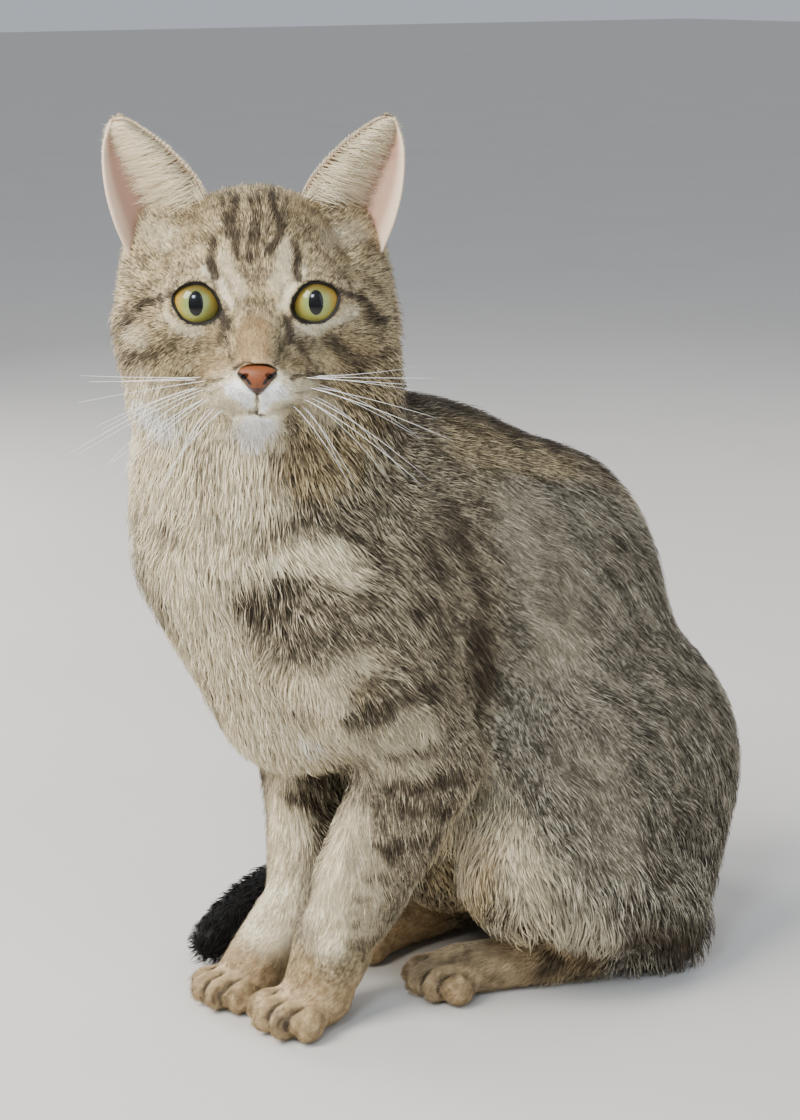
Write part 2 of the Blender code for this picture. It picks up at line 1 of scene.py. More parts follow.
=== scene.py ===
"""The looks of a small seated tabby cat: one skin under a coat of mesh tufts, with separate eyes,
lids, nose, ears and whiskers, on a pale floor in soft studio light."""

import math

import bmesh
import bpy
import numpy as np
from mathutils import Matrix, Vector


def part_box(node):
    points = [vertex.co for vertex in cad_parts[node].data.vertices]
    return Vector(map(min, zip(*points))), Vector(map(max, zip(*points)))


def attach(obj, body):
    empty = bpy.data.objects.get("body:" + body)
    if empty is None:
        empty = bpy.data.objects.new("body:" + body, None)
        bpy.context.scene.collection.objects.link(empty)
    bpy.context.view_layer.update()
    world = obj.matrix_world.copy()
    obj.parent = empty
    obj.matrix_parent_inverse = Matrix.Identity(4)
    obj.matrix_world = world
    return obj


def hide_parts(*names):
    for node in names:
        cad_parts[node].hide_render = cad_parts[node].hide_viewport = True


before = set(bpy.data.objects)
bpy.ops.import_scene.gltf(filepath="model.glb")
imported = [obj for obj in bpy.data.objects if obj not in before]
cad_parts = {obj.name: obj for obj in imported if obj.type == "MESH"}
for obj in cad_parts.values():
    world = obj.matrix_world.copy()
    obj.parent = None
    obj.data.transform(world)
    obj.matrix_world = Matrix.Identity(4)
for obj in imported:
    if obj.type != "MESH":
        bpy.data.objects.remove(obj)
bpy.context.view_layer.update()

MM = 0.001
FLOOR_CLEAR = 0.25 * MM    # no part of the coat comes lower than this

# The cat's own millimetres: x to its left, y from the toes back, z up from the floor. The left
# eyeball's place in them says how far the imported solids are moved.
LEFT_EYE = np.array([40.63, 13.83, 290.92])
low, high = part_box("eye_left")
SHIFT = (np.array(low) + np.array(high)) / 2 - LEFT_EYE * MM

# The face: its frame sits midway between the fronts of the eyes, -y looking out of it
FACE_AT = np.array([37.4, -9.7, 292.4])
HEAD_YAW, HEAD_LIFT = math.radians(55.4), math.radians(7.9)
FACE_TURN = np.array((Matrix.Rotation(HEAD_YAW, 3, "Z") @ Matrix.Rotation(-HEAD_LIFT, 3, "X")))
EYE = np.array([21.2, 10.8, 0.0])
EYEBALL_R = 10.4
EYE_SLANT = math.radians(22)
EYE_OPEN = (8.7, 7.25)     # half the eye opening's width and height
FUR_EDGE = (9.5, 8.0)      # the same for the edge of the fur round it
SOCKET_R = 13.5            # within this of an eyeball's middle the skin keeps its shape
NOSE_BARE = (7.5, 5.3, -25.3)    # half the bare nose's width and height, and its middle's z
HEAD_REACH = 78            # the head's fur ends this far from the face frame's origin
SPINE_X = 7                # the middle of the trunk lies this far to the cat's left

FLESH = ("head", "muzzle", "neck", "torso", "foreleg_left", "foreleg_right", "forepaw_left",
         "forepaw_right", "hindleg_left", "hindleg_right", "hindpaw_left", "hindpaw_right",
         "tail_root", "tail_middle", "tail_tip")
TAIL_LINE = [(8, 222, 42), (-20, 240, 24), (-56, 226, 16), (-77, 182, 15.6), (-83, 130, 15.6),
             (-80, 84, 14.8), (-67, 50, 13.8), (-52, 25, 12.6)]
SKIN_VOXEL, NOSE_VOXEL = 2.5, 0.32    # mm
SKIN_KEPT = 0.4            # share of its triangles that the fused skin keeps
SOLE_CLEAR = 0.3           # mm from the coat's lowest point up to the skin
# Where the skin is made finer on the face: the middle, how far that reaches and by how much
FACE_CLOSE_UP = ((0, 8, -8), 46, 2.3)
# Width, length and height of a forefoot's and a hind foot's toes, as shares. Then the middle
# of each foot, its turn in degrees, its size and its toes
FORE, HIND = (1, 1, 1), (0.95, 0.85, 0.93)
FEET = [((18.5, 22.7), 8, 1.12, FORE), ((-18.5, 17.1), 4, 1.05, FORE),
        ((30, 88), 3.6, 1.15, HIND), ((-22, 86), -0.6, 1.0, HIND)]
# Height of each row of whiskers, its droop in degrees, its longest one and their number
WHISKER_ROWS = [(-25.4, 1, 60, 3), (-28.4, 15, 64, 3), (-31.4, 33, 60, 3), (-34.0, 54, 46, 2)]


# Places and small tools

def placed(points):
    """Points of the cat's millimetres in the frame's metres."""
    return np.asarray(points, float) * MM + SHIFT


def on_cat(points):
    """Points of the frame in the cat's millimetres."""
    return (points - SHIFT) / MM


def from_face(points):
    """Points of the face frame in the cat's millimetres."""
    return np.asarray(points, float) @ FACE_TURN.T + FACE_AT


def to_face(points):
    """Points of the cat's millimetres in the face frame."""
    return (points - FACE_AT) @ FACE_TURN


def unit(vectors):
    """Each vector divided by its length."""
    return vectors / np.maximum(np.linalg.norm(vectors, axis=-1, keepdims=True), 1e-9)


def soft_step(values, low, high):
    """0 below low and 1 above high, with 3 t^2 - 2 t^3 of the share t between them."""
    share = np.clip((values - low) / (high - low), 0, 1)
    return share * share * (3 - 2 * share)


def ripple(points, size, seed):
    """Smooth noise of about -1 to 1: the sum of nine sine waves whose length is about size, each
    in a random direction and phase."""
    dice = np.random.default_rng(seed)
    waves = dice.normal(size=(9, 3)) * 2 * math.pi / (size * 1.9)
    return np.sin(points @ waves.T + dice.uniform(0, 2 * math.pi, 9)).sum(1) / 2.6


def smooth_line(points, steps):
    """Catmull-Rom curve through the points, steps to a span."""
    knots = np.asarray(points, float)
    ends = np.vstack([2 * knots[0] - knots[1], knots, 2 * knots[-1] - knots[-2]])
    share = np.linspace(0, 1, steps, endpoint=False)[:, None]
    runs = [0.5 * (2 * b + (c - a) * share + (2 * a - 5 * b + 4 * c - d) * share**2
                   + (3 * b - 3 * c + d - a) * share**3)
            for a, b, c, d in zip(ends, ends[1:], ends[2:], ends[3:])]
    return np.vstack([*runs, knots[-1:]])


def off_line(points, line):
    """How far each point is from a line through places."""
    best = np.full(len(points), 1e9)
    for start, end in zip(line, line[1:]):
        run = end - start
        share = np.clip((points - start) @ run / (run @ run), 0, 1)
        best = np.minimum(best, np.linalg.norm(points - start - share[:, None] * run, axis=1))
    return best


def stroke(points, line, width):
    """How strongly a stroke along a line marks each point: 1 on it, 0 beyond its width."""
    line = np.asarray(line, float)
    near = ((points > line.min(0) - 1.1 * width) & (points < line.max(0) + 1.1 * width)).all(1)
    mark = np.zeros(len(points))
    if near.any():
        away = off_line(points[near], line) if len(line) > 1 else \
            np.linalg.norm(points[near] - line[0], axis=1)
        mark[near] = 1 - soft_step(away, 0.35 * width, 1.1 * width)
    return mark


def mirrored(rows, about=0.0):
    """The rows of (place, ...) again, with every place and direction on the other side."""
    return [*rows, *[((2 * about - p[0], p[1], p[2]), (-d[0], d[1], d[2]), *rest)
                     for p, d, *rest in rows]]


def made_mesh(name, verts, faces, smooth=True):
    """A mesh object from arrays, with all faces of one size."""
    mesh = bpy.data.meshes.new(name)
    count, size = faces.shape
    mesh.vertices.add(len(verts))
    mesh.vertices.foreach_set("co", verts.astype(np.float32).ravel())
    mesh.loops.add(count * size)
    mesh.loops.foreach_set("vertex_index", faces.astype(np.int32).ravel())
    mesh.polygons.add(count)
    mesh.polygons.foreach_set("loop_start", np.arange(0, count * size, size, dtype=np.int32))
    mesh.polygons.foreach_set("use_smooth", np.full(count, smooth))
    mesh.update(calc_edges=True)
    return linked(name, mesh)


def linked(name, data):
    """An object of this name with the mesh, light or camera, in the scene."""
    made = bpy.data.objects.new(name, data)
    bpy.context.scene.collection.objects.link(made)
    return made


def side_name(side):
    """The cat's left for 1 and its right for -1."""
    return "left" if side > 0 else "right"


def mark_points(made, name, values):
    """Writes three values to a vertex as a named attribute."""
    layer = made.data.attributes.new(name, "FLOAT_VECTOR", "POINT")
    layer.data.foreach_set("vector", values.astype(np.float32).ravel())


def arrays_of(mesh):
    """The mesh's vertices, vertex normals and triangles."""
    mesh.calc_loop_triangles()
    verts = np.empty(len(mesh.vertices) * 3, np.float32)
    normals = np.empty_like(verts)
    faces = np.empty(len(mesh.loop_triangles) * 3, np.int32)
    mesh.vertices.foreach_get("co", verts)
    mesh.vertex_normals.foreach_get("vector", normals)
    mesh.loop_triangles.foreach_get("vertices", faces)
    return verts.reshape(-1, 3).astype(float), normals.reshape(-1, 3).astype(float), \
        faces.reshape(-1, 3)


def merged(node):
    """A bmesh of a CAD node with its loose triangles joined."""
    shape = bmesh.new()
    shape.from_mesh(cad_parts[node].data)
    bmesh.ops.remove_doubles(shape, verts=shape.verts, dist=1e-6)
    return shape


def written(shape, name):
    """The bmesh as a mesh."""
    mesh = bpy.data.meshes.new(name)
    shape.to_mesh(mesh)
    shape.free()
    return mesh


def fuse(made, voxel):
    """Adds a modifier that fuses the piece on a grid of so many millimetres."""
    grid = made.modifiers.new("fuse", "REMESH")
    grid.mode = "VOXEL"
    grid.voxel_size = voxel * MM


def finished(made):
    """The object's mesh with its modifiers applied."""
    view = bpy.context.evaluated_depsgraph_get()
    mesh = bpy.data.meshes.new_from_object(made.evaluated_get(view))
    bpy.data.objects.remove(made)
    return mesh


def largest_part(mesh):
    """The mesh without its smaller loose parts. Every corner takes the lowest number that its
    faces' corners have, over and over, until each part has one number."""
    points, _, faces = arrays_of(mesh)
    part, before = np.arange(len(points)), None
    while before is None or (part != before).any():
        before, part = part, part.copy()
        np.minimum.at(part, before[faces], before[faces].min(1)[:, None])
        part = part[part]
    kept = part == np.bincount(part).argmax()
    faces = np.cumsum(kept)[faces[kept[faces[:, 0]]]] - 1
    return finished(made_mesh("largest", points[kept], faces))


def dress(made, material, slot, *nodes):
    """Gives a piece its material and lets it stand for the CAD nodes. The slot is not used."""
    made.data.materials.clear()
    made.data.materials.append(material)
    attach(made, "root")
    if nodes:
        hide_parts(*nodes)
    return made


# The lie of the coat. Each row has a place, the way that the hair points there, its length and
# the coat's depth in mm, how far it stands off the skin in degrees, and the row's reach in mm

HEAD_MIDDLE = [
    ((0, -8, -14), (0, 0.3, 1), 1.8, 0.4, 14, 9),
    ((0, 2, 2), (0, 0.3, 1), 2.6, 0.7, 16, 11),
    ((0, 14, 26), (0, 0.5, 1), 4.2, 1.1, 18, 14),
    ((0, 36, 42), (0, 1, 0.1), 6.5, 1.8, 18, 16),
    ((0, 66, 20), (0, 0.6, -0.8), 11, 2.4, 16, 22),
    ((0, -10, -43), (0, 0.3, -1), 3.4, 0.4, 18, 6),
    ((0, 14, -54), (0, 0.1, -1), 14, 3.0, 18, 18),
]
HEAD_SIDE = [
    ((21, 6, 18), (0.5, 0.5, 1), 3.4, 0.7, 16, 10),
    ((38, 24, 16), (0.6, 0.9, 0.3), 5.0, 1.1, 18, 13),
    ((36, 36, 34), (0.3, 0.9, 0.5), 6.0, 1.4, 18, 12),
    ((40, 12, -4), (0.9, 0.8, -0.15), 4.2, 0.9, 18, 12),
    ((52, 34, -10), (0.6, 0.8, -0.5), 7.5, 2.2, 22, 13),
    ((22, 0, -13), (1, 0.3, -0.25), 2.5, 0.6, 15, 8),
    ((14, -9, -27), (1, 0.5, -0.35), 2.0, 0.4, 14, 6),
    ((4.5, -15, -31), (0.5, 0, -1), 1.6, 0.3, 12, 4),
    ((18, 2, -40), (0.5, 0.5, -0.8), 5.0, 1.0, 18, 9),
    ((40, 24, -32), (0.5, 0.5, -0.9), 10, 2.8, 20, 14),
]
BODY_MIDDLE = [
    ((16, -20, 215), (0.2, -0.15, -1), 12, 3.6, 20, 24),
    ((14, -16, 180), (0.1, -0.1, -1), 13, 3.8, 22, 22),
    ((-40, -6, 205), (-0.5, 0.1, -1), 12, 3.6, 22, 24),
    ((46, 10, 205), (0.7, 0.5, -0.8), 11, 3.2, 20, 20),
    ((0, -4, 148), (0.05, 0.1, -1), 13, 3.2, 20, 18),
    ((-4, 18, 112), (0, 0.4, -1), 11, 2.6, 18, 14),
    ((4, 74, 242), (0, 1, -0.25), 8.0, 2.6, 16, 28),
    ((6, 126, 226), (0, 0.85, -0.6), 7.4, 2.6, 14, 28),
    ((14, 180, 184), (0.05, 0.45, -0.9), 7.4, 2.6, 14, 28),
    ((20, 215, 120), (0.05, 0.25, -1), 7.6, 2.6, 14, 28),
    ((20, 234, 70), (0, 0.1, -1), 11, 2.8, 18, 24),
    ((4, 70, 70), (0, 0.3, -1), 10, 2.0, 16, 20),
]
FLANK = [
    ((58, 34, 168), (0.1, 0.65, -0.8), 8.4, 2.4, 16, 18),
    ((63, 46, 130), (0.1, 0.5, -0.9), 7.8, 2.2, 16, 15),
    ((56, 90, 185), (0.1, 0.8, -0.6), 7.0, 2.4, 13, 22),
    ((64, 128, 135), (0.15, 0.65, -0.8), 7.2, 2.6, 14, 24),
    ((78, 150, 84), (0.1, 0.45, -0.9), 8.0, 2.6, 16, 22),
    ((66, 90, 72), (0.15, -0.1, -1), 11, 2.6, 18, 12),
    ((76, 108, 40), (0.1, 0.05, -1), 18, 3.0, 22, 13),
    ((74, 130, 26), (0.1, 0.3, -1), 17, 2.6, 22, 12),
]
LEGS = [
    ((42, 44, 96), (0, 0.25, -1), 7.0, 1.8, 16, 12),
    ((36, 42, 72), (0, 0.1, -1), 6.5, 1.4, 14, 11),
    ((24, 40, 46), (0, -0.15, -1), 5.0, 0.9, 13, 10),
    ((20, 30, 26), (0, -0.7, -0.8), 3.4, 0.6, 12, 8),
    ((18, 8, 12), (0, -1, -0.4), 2.6, 0.45, 12, 8),
]
FOOT_LIE = [
    ((28, 80, 12), (-0.3, -1, -0.25), 2.6, 0.45, 12, 8),
    ((30, 84, 12), (-0.2, -1, -0.25), 2.6, 0.45, 12, 8),
    ((42, 102, 15), (-0.35, -0.9, -0.2), 4.0, 0.8, 14, 9),
    ((54, 132, 18), (-0.3, -0.6, -0.6), 7.0, 1.2, 16, 10),
    ((70, 178, 26), (0.15, 0.35, -1), 12, 2.2, 24, 13),
    ((86, 140, 36), (0.2, 0.3, -1), 13, 2.6, 22, 11),
    ((-22, 80, 12), (0.1, -1, -0.25), 2.6, 0.45, 12, 8),
    ((-22, 110, 15), (0, -1, -0.2), 4.0, 0.8, 14, 10),
    ((-21, 186, 24), (0, 0.3, -1), 11, 2.2, 20, 14),
]


def lie_table():
    """All rows as arrays, in the cat's millimetres, with the tail's rows along its line."""
    rows = []
    for place, way, *rest in [*HEAD_MIDDLE, *mirrored(HEAD_SIDE)]:
        rows.append((from_face(place), FACE_TURN @ np.array(way, float), *rest))
    body = [*BODY_MIDDLE, *mirrored(FLANK, SPINE_X), *mirrored(LEGS), *FOOT_LIE]
    for place, way, *rest in body:
        rows.append((np.array(place, float), np.array(way, float), *rest))
    tail = smooth_line(TAIL_LINE, 3)
    for place, after in zip(tail[2:], np.vstack([tail[3:], 2 * tail[-1:] - tail[-2:-1]])):
        rows.append((place, after - place, 9, 4.2, 13, 13))
    places, ways, *rest = zip(*rows)
    return np.array(places), unit(np.array(ways)), *[np.array(r, float) for r in rest]


LIE = lie_table()


def lie_of_coat(points):
    """Way, length, depth and lift at points: the rows' values weighed by a Gaussian of distance
    over reach."""
    places, ways, length, depth, lift, reach = LIE
    sums = np.zeros((len(points), 6))
    total = np.full(len(points), 1e-12)
    for place, way, row, wide in zip(places, ways, np.stack([length, depth, lift], 1), reach):
        weight = np.exp(-((points - place) ** 2).sum(1) / (2 * wide * wide)) / wide + 1e-12
        sums += weight[:, None] * np.hstack([way, row])
        total += weight
    sums /= total[:, None]
    return unit(sums[:, :3]), sums[:, 3], sums[:, 4], sums[:, 5]


# The skin

def whisker_line(side, height, droop, length, place, steps=6):
    """Middle line of a CAD whisker in the face frame: a quadratic curve from inside the pad, out
    and down to its tip."""
    x, back, droop = 9.5 + 3.5 * place, math.radians(20 * place - 6), math.radians(droop)
    reach = length * math.cos(droop)
    start = np.array([0.8 * x, place - 3, height])
    out = np.array([x + 0.25 * reach, 6 * place - 17, height - 1])
    end = np.array([x + reach * math.cos(back), 6 * place - 12 + reach * math.sin(back),
                    height - length * math.sin(droop)])
    share = np.linspace(0, 1, steps)[:, None]
    bend = (1 - share) ** 2 * start + 2 * share * (1 - share) * out + share**2 * end
    return bend * [side, 1, 1]


def flesh_arrays():
    """Vertices and triangles of all flesh nodes in the cat's millimetres, each grown by a
    quarter of a millimetre so that the cuts between them close, and the muzzle shorn."""
    all_verts, all_faces, count = [], [], 0
    grown = 0.25
    for name in FLESH:
        shape = merged(name)
        if name == "muzzle":
            points = to_face(on_cat(np.array([vert.co for vert in shape.verts])))
            spine = np.zeros(len(points), bool)
            for side in (1, -1):
                for height, droop, length, number in WHISKER_ROWS:
                    for place in range(number):
                        line = whisker_line(side, height, droop, length, place)
                        spine |= off_line(points, line) < 0.6
            gone = [vert for vert, thin in zip(list(shape.verts), spine) if thin]
            bmesh.ops.delete(shape, geom=gone, context="VERTS")
            bmesh.ops.holes_fill(shape, edges=shape.edges)
            bmesh.ops.triangulate(shape, faces=shape.faces)
        mesh = written(shape, name + "_copy")
        verts, normals, faces = arrays_of(mesh)
        bpy.data.meshes.remove(mesh)
        all_verts.append(on_cat(verts) + grown * normals)
        all_faces.append(faces + count)
        count += len(verts)
    return np.vstack(all_verts), np.vstack(all_faces)


def close_ups():
    """The centres, reaches and sizes for enlarged, each as it lies after the ones before it."""
    centre, *rest = FACE_CLOSE_UP
    made = [(from_face(centre), *rest)]
    for (x, y), turn, size, _ in FEET:
        centre = turned(np.array([[0, -11 * size, 8 * size]]), turn) + [x, y, 0]
        for before in made:
            centre = enlarged(centre, *before)
        made.append((centre[0], 16 * size, 2.8))
    return made


def enlarged(points, centre, reach, times):
    """Spreads points out round a centre: a distance r becomes r + (times - 1) min(r, reach)."""
    away = np.linalg.norm(points - centre, axis=1, keepdims=True)
    return points + (points - centre) * (times - 1) * np.minimum(1, reach / np.maximum(away, 1))


def reduced(points, centre, reach, times):
    """Undoes enlarged."""
    away = np.linalg.norm(points - centre, axis=1, keepdims=True)
    back = np.where(away < times * reach, away / times, away - (times - 1) * reach)
    return centre + (points - centre) * back / np.maximum(away, 1)


def relaxed(points, edges, share, rounds):
    """Moves each point by its share towards the mean of its neighbours, so many times."""
    count = len(points)
    ends = np.concatenate([edges[:, 0], edges[:, 1]])
    others = np.concatenate([edges[:, 1], edges[:, 0]])
    degree = np.maximum(np.bincount(ends, minlength=count), 1)
    for _ in range(rounds):
        mean = np.stack([np.bincount(ends, points[others, axis], count) / degree
                         for axis in range(3)], axis=1)
        points = points + share[:, None] * (mean - points)
    return points


MOUTH = [(-10.5, -39.4), (-6.8, -38.8), (-3, -38.2), (0, -37.2), (3, -38.2), (6.8, -38.8),
         (10.5, -39.4)]
PHILTRUM = [(0, -31), (0, -34), (0, -37)]
# The clefts across a paw of size 1: each one's x and how far back it reaches
CLEFTS = ((-7.8, -3), (0, -6), (7.8, -3))
CLEFT_DEEP = 1.6


def toe_cleft(points, wide):
    """How strongly each point lies in a cleft between two toes: a Gaussian of its distance from
    the upright plane between them, fading out over the top of the foot."""
    mark = np.zeros(len(points))
    for (x, y), turn, size, shape in FEET:
        at = turned(points - [x, y, 0], -turn) / (size * np.array(shape))
        near = np.flatnonzero((np.abs(at[:, 0]) < 14) & (np.abs(at[:, 1] + 12) < 16)
                              & (at[:, 2] < 18))
        at = at[near]
        for row, back in CLEFTS:
            away = np.abs(at[:, 0] - row * (1 + 0.004 * (at[:, 1] + 8))) * size * shape[0]
            fade = 1 - soft_step(at[:, 1], back - 8, back)
            mark[near] = np.maximum(mark[near], np.exp(-(away / wide) ** 2) * fade)
    return mark


def turned(points, degrees):
    """Points turned about the upright through the origin."""
    return points @ np.array(Matrix.Rotation(math.radians(degrees), 3, "Z")).T


def eye_distance(face_points):
    """Distance from the nearer eyeball's centre, for points of the face frame."""
    return np.linalg.norm(np.abs(face_points) * [1, 0, 0] + face_points * [0, 1, 1] - EYE, axis=1)


def carved(points, normals):
    """Sinks the mouth line, the groove below the nose and the clefts between the toes."""
    face = to_face(points)
    front = face[:, 1] < 12
    sunk = np.zeros(len(points))
    for line, wide, deep in ((MOUTH, 1.3, 0.9), (PHILTRUM, 1.0, 0.7)):
        line = np.array(line)
        away = off_line(face[:, [0, 2]], line)
        sunk = np.maximum(sunk, deep * np.exp(-(away / wide) ** 2) * front)
    sunk = np.maximum(sunk, CLEFT_DEEP * toe_cleft(points, 1.0))
    return points - sunk[:, None] * normals


def skin_arrays():
    """The skin: the flesh fused on a grid that is finer at the face and feet, evened out, drawn
    in by the coat's depth, evened again and carved. Eye sockets are hardly evened at all."""
    verts, faces = flesh_arrays()
    views = close_ups()
    for view in views:
        verts = enlarged(verts, *view)
    rough = made_mesh("rough", verts * MM, faces)
    fuse(rough, SKIN_VOXEL)
    thin = rough.modifiers.new("thin", "DECIMATE")
    thin.ratio = SKIN_KEPT
    mesh = largest_part(finished(rough))
    points, _, faces = arrays_of(mesh)
    edges = np.empty(len(mesh.edges) * 2, np.int32)
    mesh.edges.foreach_get("vertices", edges)
    edges = edges.reshape(-1, 2)
    points = points / MM
    for view in reversed(views):
        points = reduced(points, *view)
    away = np.linalg.norm(to_face(points) - FACE_CLOSE_UP[0], axis=1)
    eyes = eye_distance(to_face(points))
    # How far each point is evened: least on the face, less on the feet than on the trunk
    share = 0.12 + 0.42 * soft_step(away, 34, 70)
    for (x, y), *_ in FEET:
        foot = np.linalg.norm(points - [x, y - 8, 6], axis=1)
        share = np.minimum(share, 0.46 + 0.08 * soft_step(foot, 17, 34))
    points = relaxed(points, edges, np.where(eyes < SOCKET_R, 0.1, share), 14)
    for rounds, inward in ((6, True), (2, False)):
        mesh.vertices.foreach_set("co", points.astype(np.float32).ravel())
        mesh.update()
        normals = arrays_of(mesh)[1]
        if inward:
            depth = lie_of_coat(points)[2]
            depth = np.where(eyes < SOCKET_R + 0.5, 0.25, depth)
            points = points - depth[:, None] * normals
        else:
            points = carved(points, normals)
        points = relaxed(points, edges, np.where(eyes < SOCKET_R, 0.05, 0.5 * share), rounds)
    points[:, 2] = np.maximum(points[:, 2], FLOOR_CLEAR / MM + SOLE_CLEAR)
    bpy.data.meshes.remove(mesh)
    return points, faces


# The markings, with some painted shade among the body's dark strokes. Each is a line, its width
# in mm and its strength. Lines on the face are (x, z) of the face frame, those on the body are
# places

FACE_DARK = [
    ([(-7, 40), (-8.5, 30), (-6.5, 23), (-5, 16)], 2.3, 0.95),
    ([(-11.5, 36), (-11, 29), (-9, 25)], 2.0, 0.65),
    ([(-1.6, 39), (-0.4, 30), (-1.4, 22), (-1, 15)], 1.7, 0.85),
    ([(1.8, 39), (2.2, 30), (1, 24), (2, 17)], 1.6, 0.75),
    ([(7, 40), (8, 31), (9.5, 25), (5.7, 18)], 2.3, 0.95),
    ([(12, 35), (11.5, 29), (10, 26)], 2.0, 0.6),
    ([(-4.4, 33), (-4.2, 25), (-3.4, 19)], 1.3, 0.5),
    ([(5.0, 34), (4.6, 27), (3.6, 20)], 1.3, 0.5),
    ([(0, 11), (0, -4)], 7, 0.28),
    ([(-11.4, -12), (-9.4, -16.5), (-8, -20)], 1.8, 0.55),
    ([(11.4, -12), (9.2, -16), (7.8, -19.5)], 1.8, 0.6),
    ([(-13.4, 21), (-15, 15), (-14.0, 9)], 2.3, 1.0),
    ([(13.8, 21), (15, 15), (14.2, 9)], 2.3, 1.0),
    (MOUTH, 1.3, 0.3),
    (MOUTH[2:-2], 0.8, 0.45),
    (PHILTRUM, 0.7, 0.6),
    ([(-13.2, -3), (-12.2, -6), (-11.8, -8)], 1.5, 0.9),
    ([(13.2, -3), (12.2, -6), (11.8, -8)], 1.5, 0.9),
    ([(-21, 32), (-19, 25)], 2.4, 0.35),
    ([(21, 32), (19, 25)], 2.4, 0.35),
    ([(-31, 4), (-35, 2.8), (-39, 0.5), (-43, -4), (-49, -7)], 2.4, 0.85),
    ([(30, 4), (35.7, 2.6), (40, -1), (43, -5), (48, -6)], 2.4, 0.85),
    ([(-27, -13), (-33, -15), (-40, -19), (-47, -19)], 3.4, 0.5),
    ([(27, -15), (35, -20), (41, -22.5), (46, -19)], 3.0, 0.65),
    ([(-12, -10), (-16, -15), (-23, -16)], 4.0, 0.4),
    ([(12, -12), (18, -16), (26, -15)], 4.6, 0.5),
    ([(-9.8, -5), (-11.6, -9), (-12, -13)], 1.5, 0.8),
    ([(10, -5), (11.5, -10), (12, -15)], 1.6, 0.95),
    ([(-7.3, -22.6), (-4, -20.7), (0, -20.3), (4, -20.7), (7.3, -22.6)], 1.0, 0.9),
    ([(-22, -29), (-17.5, -26), (-12.5, -26.2)], 0.9, 0.6),
    ([(-22, -31), (-13, -29.8)], 0.8, 0.45),
    ([(13, -26), (18, -25.8), (27, -27)], 0.9, 0.75),
    ([(14, -30.3), (22, -31)], 0.8, 0.45),
    ([(14, -33.4), (19, -35)], 0.7, 0.35),
]
FACE_PALE = [
    ([(-17, 12), (-12.6, 7), (-9.6, 0)], 1.9, 0.6),
    ([(17, 12), (11.8, 6), (8.8, -1)], 1.9, 0.6),
    ([(-33, -4), (-28, -9), (-19, -10.5)], 3.0, 0.45),
    ([(13.5, -9.5), (21, -10), (29, -7), (35, -3)], 3.0, 0.55),
    ([(-42, -13), (-47, -10)], 4.5, 0.45),
    ([(-10, 16), (-9, 10), (-6, 6)], 3.4, 0.4),
    ([(10.5, 20), (9.6, 12), (7, 7)], 3.4, 0.45),
    ([(-40, 26), (-30, 24)], 6, 0.3),
    ([(40, 26), (30, 24)], 6, 0.3),
    ([(-8, -30), (0, -35), (8, -30)], 8, 1.0),
    ([(-19, -33), (-14, -31)], 7, 0.8),
    ([(19, -33), (14, -31)], 6, 0.7),
    ([(0, -44), (0, -50)], 15, 1.0),
    ([(-16, -46), (-30, -44), (-42, -38)], 15, 0.92),
    ([(22, -42), (24, -40)], 8, 0.5),
]
FACE_WARM = [
    ([(-1, -9), (-0.6, -18)], 8.5, 1.0),
    ([(-13, -20), (-18, -22)], 6, 0.55),
    ([(13, -20), (16, -22)], 4, 0.4),
    ([(-17, -10.5), (-14, -12)], 4, 0.6),
    ([(30, -17), (40, -17)], 8, 0.4),
    ([(16, 33), (22, 40)], 4, 0.5),
]
